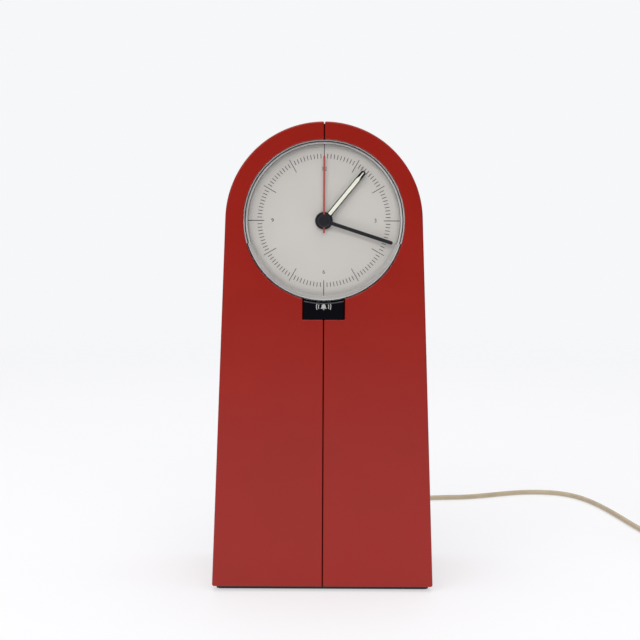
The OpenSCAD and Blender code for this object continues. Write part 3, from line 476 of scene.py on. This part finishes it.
# ---- Cord, in millimetres ----
CORD_START = [(22, 47, 13)]  # inside the strain relief, so the cord shows no cut face
ROUTE = [
    (22, 51.7, 13), (22, 58, 12.4), (22.3, 66, 10), (23, 76, 6), (24.5, 87, 2.9), (27, 99, 1.6),
    (31.5, 113, 1.32), (38, 128, 1.27), (46, 140, 1.27), (54, 146.4, 1.27), (63, 148.5, 1.27),
    (76, 149.3, 1.27), (87, 153.5, 1.27), (98, 159, 1.27), (108, 163, 1.27), (118, 164, 1.27),
    (127.5, 162, 1.27), (136, 155, 1.27), (143, 139.5, 1.27), (148, 117.5, 1.27), (152, 93, 1.27),
    (154.5, 79, 1.27), (157.5, 64, 1.27), (159.8, 50, 1.27), (161, 37, 1.4), (161.4, 26, 1.7),
]
CORD_D = mm(2.5)
COIL_AT = (179, 20)
COIL_R = 15
COIL_LOW = 1.75
COIL_PITCH = 2.5
COIL_LAYERS = 4
COIL_TURNS = 11.43
SHIFT_TURN = 0.22  # share of a turn in which the cord moves over to its next place
BOOT = [(198.3, 20.5, 8.8), (199.9, 25.5, 8.2), (200.2, 30, 8)]


def coil_points():
    """Turns of the spare cord, three side by side in each layer, counterclockwise from the coil's left."""
    places = []
    for layer in range(COIL_LAYERS):
        radii = [COIL_R + COIL_PITCH, COIL_R, COIL_R - COIL_PITCH]
        places += [(r, COIL_LOW + COIL_PITCH * layer) for r in (radii if layer % 2 == 0 else radii[::-1])]
    per_turn = 20
    points = []
    for i in range(round(COIL_TURNS * per_turn) + 1):
        turn = i / per_turn
        k = min(int(turn), len(places) - 1)
        f = max(0.0, (turn - k - 1 + SHIFT_TURN) / SHIFT_TURN)
        f = f * f * (3 - 2 * f)
        (r0, z0), (r1, z1) = places[k], places[min(k + 1, len(places) - 1)]
        r, z = r0 + (r1 - r0) * f, z0 + (z1 - z0) * f
        a = math.pi + turn * WHOLE_TURN
        points.append((COIL_AT[0] + r * math.cos(a), COIL_AT[1] + r * math.sin(a), z))
    return points


def make_cord():
    """The cord from the strain relief over the table, through its coil and into the adapter."""
    line = [mm(*p) for p in CORD_START + ROUTE + coil_points() + BOOT]
    curve = bpy.data.curves.new("cord", "CURVE")
    curve.dimensions = "3D"
    curve.resolution_u = 6
    curve.bevel_depth = CORD_D / 2
    curve.bevel_resolution = 5
    curve.use_fill_caps = True
    spline = curve.splines.new("NURBS")
    spline.points.add(len(line) - 1)
    for point, place in zip(spline.points, line):
        point.co = (*place, 1)
    spline.order_u = 4
    spline.use_endpoint_u = True
    cord = add_object("cord", curve)
    put(cord, "case", "cord_pvc", "power_cord", "cord_coil")


make_cord()
soften("strain_relief", 0.25)
soften("cord_tie", 0.2)
soften("adapter_case", 1.2, 3)
soften("adapter_pins", 0.5, 3)


# ---- Shells ----
EDGE = mm(0.7)  # rounding of the outer edges
LIP = mm(0.35)  # rounding of the edges at the seam, the notch and the opening
FOOT_EDGE = mm(0.4)
LIP_INSET = mm(0.9)
LIP_CLEAR = mm(0.02)
PAST = mm(1)  # how far a cutting piece reaches past what it cuts
BAND_LEFT, BAND_RIGHT, BAND_SHORT = mm(-1.2), mm(1.8), mm(4)  # the tongue's sides, and its gap to the panel
FREE_X, FREE_HIGH, FREE_DEEP = mm(9), DIAL_Z - mm(20), mm(4)  # what the tongue leaves free for the button


def shell_outline():
    """C-shaped outline of the right shell's front, clockwise: arch, side, foot, seam, notch, dial opening."""
    notch_x = BUTTON_X + BUTTON_GAP
    notch_z = BUTTON_LOW - BUTTON_GAP
    outer = half_outline(0, SHELL_Z, SEAM_X)
    meets = -math.degrees(math.acos(notch_x / OPENING_R))
    top = math.degrees(math.acos(SEAM_X / OPENING_R))
    opening = arc(OPENING_R, meets, top)
    points = outer + [(SEAM_X, notch_z), (notch_x, notch_z)] + opening
    foot = len(outer) - 2
    seam = len(outer) - 1
    notch = len(outer)
    meet = notch + 2
    end = len(points) - 1
    radii = {0: 0.5, foot: 0.8, seam: 0.4, notch: 0.4, notch + 1: 0.5, meet: 0.45, end: 0.4}
    radii = {corner: mm(radius) for corner, radius in radii.items()}
    insets = [EDGE if i < seam else LIP for i in range(len(points))]
    insets[foot] = FOOT_EDGE
    return rounded(points, radii, insets)


def make_shell(name, side):
    """A hollow half of the case, open at the seam; side is -1 for the left one, which mirrors the right."""
    points, insets = shell_outline()
    shell = prism(name, points, insets, FRONT, BACK, steps=4)
    cavity = half_outline(WALL, SHELL_Z - PAST, -PAST)
    combine(shell, slab("cavity", cavity, FRONT + WALL, BACK - WALL), "DIFFERENCE")
    rear = half_outline(PANEL_INSET, PANEL_LOW, -PAST)
    combine(shell, slab("rear_opening", rear, BACK - WALL - PAST, BACK + PAST), "DIFFERENCE")
    if side < 0:
        shell.data.transform(Matrix.Scale(-1, 4, (1, 0, 0)))
        shell.data.flip_normals()
    tidy(shell)
    put(shell, "case", "red_case", name.replace("half", "shell"))


def both_halves(half):
    """The half outline with its mirror image."""
    return half + [(-x, z) for x, z in half[::-1]]


def make_seam_lip():
    """Tongue behind the seam that closes the gap between the shells."""
    outline = both_halves(half_outline(LIP_INSET, SHELL_Z, 0))
    lip = slab("seam_lip", outline, FRONT + LIP_INSET, BACK - LIP_INSET)
    hollow = both_halves(half_outline(WALL - LIP_CLEAR, SHELL_Z - PAST, 0))
    hollow = slab("hollow", hollow, FRONT + WALL - LIP_CLEAR, BACK - WALL + LIP_CLEAR)
    combine(lip, hollow, "DIFFERENCE")
    panel_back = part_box("rear_panel")[1].y
    band = box_piece("band", (BAND_LEFT, -1, 0), (BAND_RIGHT, panel_back - BAND_SHORT, 1))
    combine(lip, band, "INTERSECT")
    cut_front, cut_back = FRONT - PAST, FRONT + FREE_DEEP
    combine(lip, slab("hole", arc(OPENING_R, 360, 0), cut_front, cut_back), "DIFFERENCE")
    free_low = BUTTON_LOW - BUTTON_GAP
    notch = box_piece("notch", (-FREE_X, cut_front, free_low), (FREE_X, cut_back, FREE_HIGH))
    combine(lip, notch, "DIFFERENCE")
    tidy(lip)
    put(lip, "case", "red_case", "left_shell", material=SEAM_SHADE)


make_shell("left_half", -1)
make_shell("right_half", 1)
make_seam_lip()


# ---- Dial ----
def flat_shape(name, polygons, front, back):
    """One mesh of thin closed prisms, each from its own outline of (x, z) points."""
    verts, faces = [], []
    for points in polygons:
        first, count = len(verts), len(points)
        verts += [(x, front, z) for x, z in points] + [(x, back, z) for x, z in points]
        faces.append(tuple(range(first, first + count)))
        faces.append(tuple(range(first + 2 * count - 1, first + count - 1, -1)))
        for i in range(count):
            j = (i + 1) % count
            faces.append((first + i, first + count + i, first + count + j, first + j))
    piece = add_mesh(name, verts, faces)
    face_outwards(piece)
    return piece


def tick(angle, inner, outer, width, centre=(0, DIAL_Z)):
    """Outline of a radial mark round centre at a clock angle, sizes in millimetres."""
    a = math.radians(angle)
    along, across = Vector((math.sin(a), math.cos(a))), Vector((math.cos(a), -math.sin(a)))
    middle = Vector(centre)
    return [
        tuple(middle + along * mm(r) + across * mm(s * width / 2))
        for r, s in [(inner, -1), (outer, -1), (outer, 1), (inner, 1)]
    ]


# Radii and widths of the dial's print, in millimetres
HALF_MINUTES = (25.3, 27.2, 0.27)
HOURS = (22.6, 28.4, 0.27)
QUARTERS = (24.4, 31.0, 0.3)
NUMERAL_AT, NUMERAL_SIZE = 21, 2.3
INK = mm(0.01)


def make_dial_marks():
    """Half minute, hour and quarter marks, and the four numerals."""
    marks = []
    for i in range(120):
        if i % 10:
            marks.append(tick(i * 3, *HALF_MINUTES))
    for hour in range(12):
        marks.append(tick(hour * 30, *(HOURS if hour % 3 else QUARTERS)))
    piece = flat_shape("dial_marks", marks, DIAL_FACE - 2 * INK, DIAL_FACE + INK)
    put(piece, "case", "dial_white", material=DIAL_PRINT)
    for quarter, text in enumerate(["12", "3", "6", "9"]):
        curve = bpy.data.curves.new("numeral_" + text, "FONT")
        curve.body = text
        curve.size = mm(NUMERAL_SIZE)
        curve.align_x = "CENTER"
        curve.align_y = "CENTER"
        curve.extrude = INK
        letters = add_object("numeral_source", curve)
        data = evaluated_mesh(letters)
        bpy.data.objects.remove(letters)
        a = quarter * math.pi / 2
        x, z = mm(NUMERAL_AT) * math.sin(a), mm(NUMERAL_AT) * math.cos(a)
        data.transform(Matrix.Rotation(math.pi / 2, 4, "X"))
        data.transform(Matrix.Translation((x, DIAL_FACE - INK, DIAL_Z + z)))
        put(add_object("numeral_" + text, data), "case", "dial_white", material=DIAL_PRINT)


def lathe(name, profile, centre, start=0.0, sweep=360.0, steps=120):
    """Solid turned about an axis along Y through centre, from a closed (radius, y) profile in metres."""
    full = sweep >= 360
    rows = steps if full else steps + 1
    verts, faces, count = [], [], len(profile)
    for s in range(rows):
        a = math.radians(start + sweep * s / steps)
        verts += [(centre[0] + r * math.cos(a), y, centre[1] + r * math.sin(a)) for r, y in profile]
    for s in range(steps):
        t = (s + 1) % rows
        for i in range(count):
            j = (i + 1) % count
            faces.append((s * count + i, s * count + j, t * count + j, t * count + i))
    if not full:
        faces.append(tuple(range(count)))
        faces.append(tuple(range((rows - 1) * count, rows * count)))
    return add_mesh(name, verts, faces)


AXIS = mm(0.001)  # radius at which a turned solid's profile meets its axis
FINE_CREASE = 25
LENS_R = OPENING_R - mm(0.12)
RIM_IN, GASKET_IN = LENS_R - mm(0.41), LENS_R - mm(0.8)
HAIR = mm(0.01)
ABOVE, BELOW = (-16.5, 213), (196.8, 146.4)  # start and sweep of the dark gasket ring and of the painted shade in the gap below, in degrees
BAND_FROM, BAND_SWEEP = 197.5, 145
# Depths behind the lens's front, in millimetres
RIM_NEAR, GASKET_NEAR, GASKET_FAR, WALL_NEAR, RIM_FAR = 1.7, 1.75, 2.9, 2.6, 3.6


def behind_lens(radius, depth):
    """A point of a profile, depth millimetres behind the lens's front."""
    return radius, LENS_FRONT + mm(depth)


def lens_piece(name, profile, start=0.0, sweep=360.0):
    """A solid turned about the dial's middle, from radii and depths behind the lens's front."""
    piece = lathe(name, [behind_lens(*point) for point in profile], (0, DIAL_Z), start=start, sweep=sweep)
    tidy(piece, FINE_CREASE)
    return piece


def lens_ring(name, inner, outer, near, far, reach=(0.0, 360.0)):
    """Part of a square ring, its depths in millimetres behind the lens's front."""
    return lens_piece(name, [(inner, near), (outer, near), (outer, far), (inner, far)], *reach)


def make_lens():
    """Clear disc with a rounded edge, its bright rim and dark ring, and the thicker band round its lower
    part. The rim, the inner wall and the lower band are opaque grey: painted highlight and painted
    reflection of the clear plastic. Above, the dark ring lies inside the rim; below, a black ring of
    painted shade fills the gap outside it."""
    disc = lens_piece("lens_disc", [
        (AXIS, 0), (LENS_R - mm(0.5), 0), (LENS_R - mm(0.2), 0.08), (LENS_R, 0.35),
        (LENS_R, 1.4), (LENS_R - mm(0.15), 1.6), (AXIS, 1.6),
    ])
    put(disc, "case", "clear_lens", "lens")
    for name, inner, outer, reach in [
        ("lens_rim", RIM_IN, LENS_R, ABOVE),
        ("lens_rim_low", GASKET_IN, RIM_IN - HAIR, BELOW),
    ]:
        rim = lens_ring(name, inner, outer, RIM_NEAR, RIM_FAR, reach)
        put(rim, "case", "clear_lens", "lens", material=LENS_PAINTED_HIGHLIGHT)
    # Above, the black gasket ring; below, a black ring put in the gap outside the rim: painted shade.
    for name, inner, outer, reach in [
        ("gasket_ring", GASKET_IN + HAIR, RIM_IN - HAIR, ABOVE),
        ("gap_painted_shade", RIM_IN, LENS_R + mm(0.1), BELOW),
    ]:
        gasket = lens_ring(name, inner, outer, GASKET_NEAR, GASKET_FAR, reach)
        put(gasket, "case", "gasket_black", "lens_gasket")
    wall = lens_ring("lens_wall", DIAL_R + mm(0.05), GASKET_IN, WALL_NEAR, RIM_FAR)
    put(wall, "case", "clear_lens", "lens", material=LENS_PAINTED_HIGHLIGHT)
    band_out = GASKET_IN - mm(0.02)
    lower = lens_piece("lens_lower_band", [
        (LENS_R - mm(2.3), WALL_NEAR), (LENS_R - mm(1.7), 1.9), (band_out, GASKET_NEAR),
        (band_out, GASKET_FAR), (LENS_R - mm(2.1), RIM_FAR),
    ], start=BAND_FROM, sweep=BAND_SWEEP)
    put(lower, "case", "clear_lens", "lens", material=LENS_BAND_REFLECTION)


make_dial_marks()
make_lens()
soften("dial_plate", 0.05, 1)
soften("dial_frame", 0.15, 1)
for hand, width in [
    ("alarm_hand_hub", 0.12), ("alarm_hand", 0.04), ("hour_hand", 0.07), ("hour_lume", 0.05),
    ("minute_hand", 0.09), ("centre_cap", 0.35),
]:
    soften(hand, width)


# ---- Alarm button ----
CAP_TOP_R = OPENING_R + mm(0.5)
FLANGE_TOP_R = OPENING_R + mm(1.9)
FLANGE_FRONT, FLANGE_BACK = mm(-29.75), mm(-28.55)
STEM_R, STEM_TIP_R, STEM_END = mm(2), mm(1), mm(-21.1)
CAP_FOOT_CORNER, CAP_TOP_CORNER = mm(0.5), mm(0.3)
CAP_FOOT_EDGE, CAP_EDGE, FLANGE_EDGE, STEM_EDGE = mm(0.3), mm(0.55), mm(0.15), mm(0.2)
STEM_AT = (0, DIAL_Z - mm(35.2))


def under_lens(side, low, top_r, step):
    """Outline with a flat foot and sides and a top that follows the lens, clockwise from its lower right."""
    reach = math.degrees(math.acos(side / top_r))
    return [(side, low), (-side, low)] + arc(top_r, -180 + reach, -reach, step)


def make_button():
    """Button cap with rounded edges whose top follows the lens, with its flange, stem and tip behind it."""
    points = under_lens(BUTTON_X, BUTTON_LOW, CAP_TOP_R, 1.5)
    radii = {0: CAP_FOOT_CORNER, 1: CAP_FOOT_CORNER, 2: CAP_TOP_CORNER, len(points) - 1: CAP_TOP_CORNER}
    insets = [CAP_FOOT_EDGE] * 2 + [CAP_EDGE] * (len(points) - 2)
    points, insets = rounded(points, radii, insets)
    cap = prism("button_cap", points, insets, BUTTON_FRONT, FLANGE_FRONT + mm(0.5), round_back=False)
    outline = under_lens(BUTTON_X + mm(1), BUTTON_LOW - mm(1.2), FLANGE_TOP_R, 3)
    edges = [FLANGE_EDGE] * len(outline)
    flange = prism("button_flange", outline, edges, FLANGE_FRONT, FLANGE_BACK, steps=2)
    root = FLANGE_BACK - mm(0.3)
    stem = lathe("button_stem", [
        (AXIS, root), (STEM_R, root), (STEM_R, STEM_END - STEM_EDGE), (STEM_R - STEM_EDGE, STEM_END),
        (STEM_TIP_R, STEM_END), (STEM_TIP_R, BUTTON_BACK - STEM_EDGE), (STEM_TIP_R - STEM_EDGE, BUTTON_BACK),
        (AXIS, BUTTON_BACK),
    ], STEM_AT, steps=40)
    for piece in (cap, flange, stem):
        tidy(piece)
        put(piece, "alarm_button", "button_black", "alarm_button")


def circle(radius, start=0.0, sweep=360.0, parts=16):
    """Points on a circle about the origin, parts + 1 of them, angles in degrees."""
    angles = [math.radians(start + sweep * i / parts) for i in range(parts + 1)]
    return [(radius * math.cos(a), radius * math.sin(a)) for a in angles]


def bell_shapes(middle, size):
    """Outlines of a bell between two pairs of sound arcs round middle, at size 1 about 6.5 mm wide."""
    bell = [(1.35, -0.85), (0.95, -0.4)]
    bell += [(x, 0.25 + z) for x, z in circle(0.85, 0, 180, 12)]
    bell += [(-0.95, -0.4), (-1.35, -0.85)]
    clapper = [(x, -1.1 + z) for x, z in circle(0.35, 180, 180, 8)]
    shapes = [bell, clapper]
    thick = 0.17
    for sign in (-1, 1):
        for radius in (2.2, 3.1):
            band = circle(radius + thick, -25, 50, 8) + circle(radius - thick, -25, 50, 8)[::-1]
            shapes.append([(sign * x, z) for x, z in band])
    x0, z0 = middle
    return [[(x0 + mm(x * size), z0 + mm(z * size)) for x, z in shape] for shape in shapes]


def make_spring():
    """Coil spring round the button's stem, in front of the dial frame. The real spring shortens as the button
    goes in; this one is fixed to the case and keeps its length.
    """
    turns, per_turn, wire_sides, radius, wire = 5, 24, 10, mm(3), mm(0.4)
    low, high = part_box("button_spring")
    centre_z = (low.z + high.z) / 2
    first, last = low.y + wire, high.y - wire
    verts, faces, count = [], [], turns * per_turn
    for i in range(count + 1):
        a = WHOLE_TURN * i / per_turn
        y = first + (last - first) * i / count
        for k in range(wire_sides):
            b = WHOLE_TURN * k / wire_sides
            r = radius + wire * math.cos(b)
            verts.append((r * math.cos(a), y + wire * math.sin(b), centre_z + r * math.sin(a)))
    for i in range(count):
        for k in range(wire_sides):
            here, there = i * wire_sides, (i + 1) * wire_sides
            turn = (k + 1) % wire_sides
            faces.append((here + k, here + turn, there + turn, there + k))
    faces += [tuple(range(wire_sides)), tuple(range(count * wire_sides, (count + 1) * wire_sides))]
    spring = add_mesh("spring_coil", verts, faces)
    tidy(spring)
    bake(spring)
    put(spring, "case", "plated_steel", "button_spring")
    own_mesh(spring)


def make_bell():
    """Printed sign on the button."""
    shapes = bell_shapes((0, DIAL_Z - mm(34.8)), size=0.95)
    sign = flat_shape("bell_sign", shapes, BUTTON_FRONT - mm(0.02), BUTTON_FRONT + mm(0.05))
    put(sign, "alarm_button", "button_black", material=GREY_PRINT)


def make_button_highlight():
    """Strip along the button's top, just under the lens, a little lighter than the button: painted highlight
    on its top edge.
    """
    inner, outer, half = CAP_TOP_R, OPENING_R + mm(0.95), 13.9
    near, nearest, back = BUTTON_FRONT - mm(0.02), BUTTON_FRONT - mm(0.12), BUTTON_FRONT + mm(0.3)
    profile = [(inner, near), (outer, nearest), (outer, back), (inner, back)]
    strip = lathe("button_painted_highlight", profile, (0, DIAL_Z), start=270 - half, sweep=2 * half, steps=24)
    tidy(strip, FINE_CREASE)
    put(strip, "alarm_button", "button_black", "alarm_button", material=BUTTON_HIGHLIGHT)


make_button()
make_button_highlight()
make_spring()
make_bell()


# ---- Rear and inside ----
EDGE_WIDTHS = {
    0.4: ["speaker_magnet", "clock_cell"],
    0.3: [
        "rear_panel", "battery_door", "base_plate", "rubber_feet", "tuning_knob", "volume_knob",
        "board_parts", "tuning_capacitor", "volume_control", "ferrite_rod",
    ],
    0.25: ["time_knob", "alarm_knob"],
    0.2: [
        "function_slider", "speaker_frame", "function_switch", "movement_front", "movement_back",
        "alarm_switch",
    ],
    0.1: ["screws", "radio_board", "aerial_coil", "cell_contacts", "drive_coil"],
    0.05: ["middle_plate", "stator", "coil_core", "quartz_board"],
    0.0: [
        "speaker_cone", "cannon_pinion", "minute_wheel", "hour_wheel", "alarm_wheel", "centre_wheel",
        "third_wheel", "intermediate_wheel", "rotor", "time_shaft", "alarm_shaft",
    ],
}
for width, names in EDGE_WIDTHS.items():
    for name in names:
        soften(name, width)

# Print on the rear panel, in millimetres
SCALE_IN, SCALE_LONG, SCALE_SHORT, SCALE_W = 10.3, 11.9, 11.1, 0.25
WEDGE_FIRST, WEDGE_STEP, WEDGE_W = 10.55, 0.15, 0.4
SCALE_FROM, SCALE_TURN, SCALE_COUNT = 150, -30, 11
SIGN_ABOVE, BELL_SIZE = 9.6, 0.9
CLOCK_RING, CLOCK_HANDS, CLOCK_HAND_W = (1.5, 1.8), [(0, 1.2), (-90, 0.9)], 0.28
DOT_R, DOT_STEP, DOT_ABOVE = 0.35, 3.2, 4.2
POINTER_W = 0.45
POINTERS = [
    ("tuning_knob", "tuning_knob", 7.0, 8.5), ("volume_knob", "volume_knob", 7.0, 8.5),
    ("time_knob", "time_setter", 3.6, 5.3), ("alarm_knob", "alarm_setter", 3.6, 5.3),
]


def middle_of(node, above=0.0, beside=0.0):
    """The middle of a CAD node as (x, z), or a point so many millimetres above and beside it."""
    low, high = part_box(node)
    return (low.x + high.x) / 2 + mm(beside), (low.z + high.z) / 2 + mm(above)


def placed(shape, centre):
    """A shape in millimetres about the origin, moved to a centre in metres."""
    return [(centre[0] + mm(x), centre[1] + mm(z)) for x, z in shape]


def ring_shape(inner, outer):
    """Outline of a ring with a hairline slit."""
    return circle(outer, 1, 358, 40) + circle(inner, 1, 358, 40)[::-1]


def make_rear_marks():
    """Printed signs by the rear controls: tuning scale, volume wedge, clock, bell and the slider's dots."""
    shapes = []
    tuning, volume = middle_of("tuning_knob"), middle_of("volume_knob")
    for i in range(SCALE_COUNT):
        angle = SCALE_FROM + i * SCALE_TURN
        shapes.append(tick(angle, SCALE_IN, SCALE_SHORT if i % 5 else SCALE_LONG, SCALE_W, tuning))
        shapes.append(tick(angle, SCALE_IN, WEDGE_FIRST + WEDGE_STEP * i, WEDGE_W, volume))
    clock = middle_of("time_knob", above=SIGN_ABOVE)
    shapes.append(placed(ring_shape(*CLOCK_RING), clock))
    shapes += [tick(angle, 0, length, CLOCK_HAND_W, clock) for angle, length in CLOCK_HANDS]
    shapes += bell_shapes(middle_of("alarm_knob", above=SIGN_ABOVE), BELL_SIZE)
    for i in range(3):
        dot = middle_of("function_slider", above=DOT_ABOVE, beside=DOT_STEP * i)
        shapes.append(placed(circle(DOT_R)[:-1], dot))
    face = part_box("rear_panel")[1].y
    marks = flat_shape("rear_marks", shapes, face - mm(0.03), face + mm(0.02))
    put(marks, "case", "rear_black", material=GREY_PRINT)
    for knob, body, inner, outer in POINTERS:
        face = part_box(knob)[1].y
        pointer = tick(0, inner, outer, POINTER_W, middle_of(knob))
        mark = flat_shape(knob + "_mark", [pointer], face - mm(0.1), face + mm(0.02))
        put(mark, body, "knob_red" if knob == "alarm_knob" else "knob_grey", material=WHITE_PRINT)


make_rear_marks()


def paint_nodes():
    """Every CAD node takes the material of its own slot in the record."""
    for row in frame["record"]["subparts"]:
        data = nodes[row["node"]].data
        data.materials.clear()
        data.materials.append(MATERIALS[row["material_slot"]])


paint_nodes()


# ---- Floor and light ----
FLOOR_R, FLOOR_FADED, FLOOR_END = 0.55, 1.08, 1.1
FLOOR_DROP = 0.0002
FLOOR_SIDES = 96
LIT_PLACE = (0, 0, 0.08)


def make_floor():
    """Pale floor disc, partly lit from within so that shadows stay faint, which fades into the background."""
    rings = [circle(radius, 0, 360, FLOOR_SIDES)[:-1] for radius in (FLOOR_R, FLOOR_END)]
    verts = [(0, 0, 0)] + [(x, y, 0) for ring in rings for x, y in ring]
    faces = []
    for i in range(FLOOR_SIDES):
        here, there = 1 + i, 1 + (i + 1) % FLOOR_SIDES
        faces.append((0, here, there))
        faces.append((here, FLOOR_SIDES + here, FLOOR_SIDES + there, there))
    floor = add_mesh("floor", verts, faces)
    floor.location.z = -FLOOR_DROP
    material, tree, shader = new_shader("floor", {
        "Base Color": (0.403, 0.405, 0.410, 1), "Roughness": 0.9, "Specular IOR Level": 0.1,
        "Emission Color": (0.985, 0.98, 1.0, 1), "Emission Strength": 0.55,
    })
    coord = add_node(tree, "TexCoord")
    length = add_node(tree, "VectorMath")
    length.operation = "LENGTH"
    link(tree, coord.outputs["Object"], length.inputs[0])
    reach = {"From Min": FLOOR_R, "From Max": FLOOR_FADED, "To Min": 1, "To Max": 0}
    fade = add_node(tree, "MapRange", reach)
    fade.interpolation_type = "SMOOTHSTEP"
    link(tree, length.outputs["Value"], fade.inputs["Value"])
    link(tree, fade.outputs["Result"], shader.inputs["Alpha"])
    floor.data.materials.append(material)


def area_light(name, place, size, power, glossy=True):
    """Rectangular lamp, in metres and watts, that looks at the clock; glossy: it shows in reflections."""
    data = bpy.data.lights.new(name, "AREA")
    data.shape = "RECTANGLE"
    data.size, data.size_y = size
    data.energy = power
    lamp = add_object(name, data)
    lamp.visible_glossy = glossy
    lamp.location = place
    lamp.rotation_euler = (Vector(LIT_PLACE) - Vector(place)).to_track_quat("-Z", "Y").to_euler()


def make_world():
    """Pale backdrop for the eye, and a soft sky for the light, dimmer in front of the dial."""
    world = bpy.data.worlds.new("world")
    world.use_nodes = True
    tree = world.node_tree
    tree.nodes.clear()
    out = add_node(tree, "OutputWorld")
    mix = add_node(tree, "MixShader")
    seen = add_node(tree, "Background", {"Color": (0.922, 0.930, 0.947, 1)})
    lit = add_node(tree, "Background", {"Color": (0.98, 0.99, 1.0, 1)})
    coord = add_node(tree, "TexCoord")
    parts = add_node(tree, "SeparateXYZ")
    link(tree, coord.outputs["Generated"], parts.inputs["Vector"])
    height = add_node(tree, "MapRange", {"From Min": 0.0, "From Max": 0.6, "To Min": 0.08, "To Max": 0.55})
    link(tree, parts.outputs["Z"], height.inputs["Value"])
    link(tree, height.outputs["Result"], lit.inputs["Strength"])
    path = add_node(tree, "LightPath")
    link(tree, path.outputs["Is Camera Ray"], mix.inputs["Fac"])
    link(tree, lit.outputs["Background"], mix.inputs[1])
    link(tree, seen.outputs["Background"], mix.inputs[2])
    link(tree, mix.outputs["Shader"], out.inputs["Surface"])
    bpy.context.scene.world = world


make_floor()
make_world()
area_light("overhead", (0, -0.1, 1.5), (1.6, 1.4), 9.5)
area_light("front", (-0.1, -1.7, 1.15), (2.2, 0.9), 18, glossy=False)
area_light("front_left", (-1.2, -1.2, 0.8), (0.9, 0.9), 4)
area_light("back", (0.1, 1.6, 1.2), (1.4, 0.8), 4)
bpy.context.scene.view_settings.view_transform = "Standard"
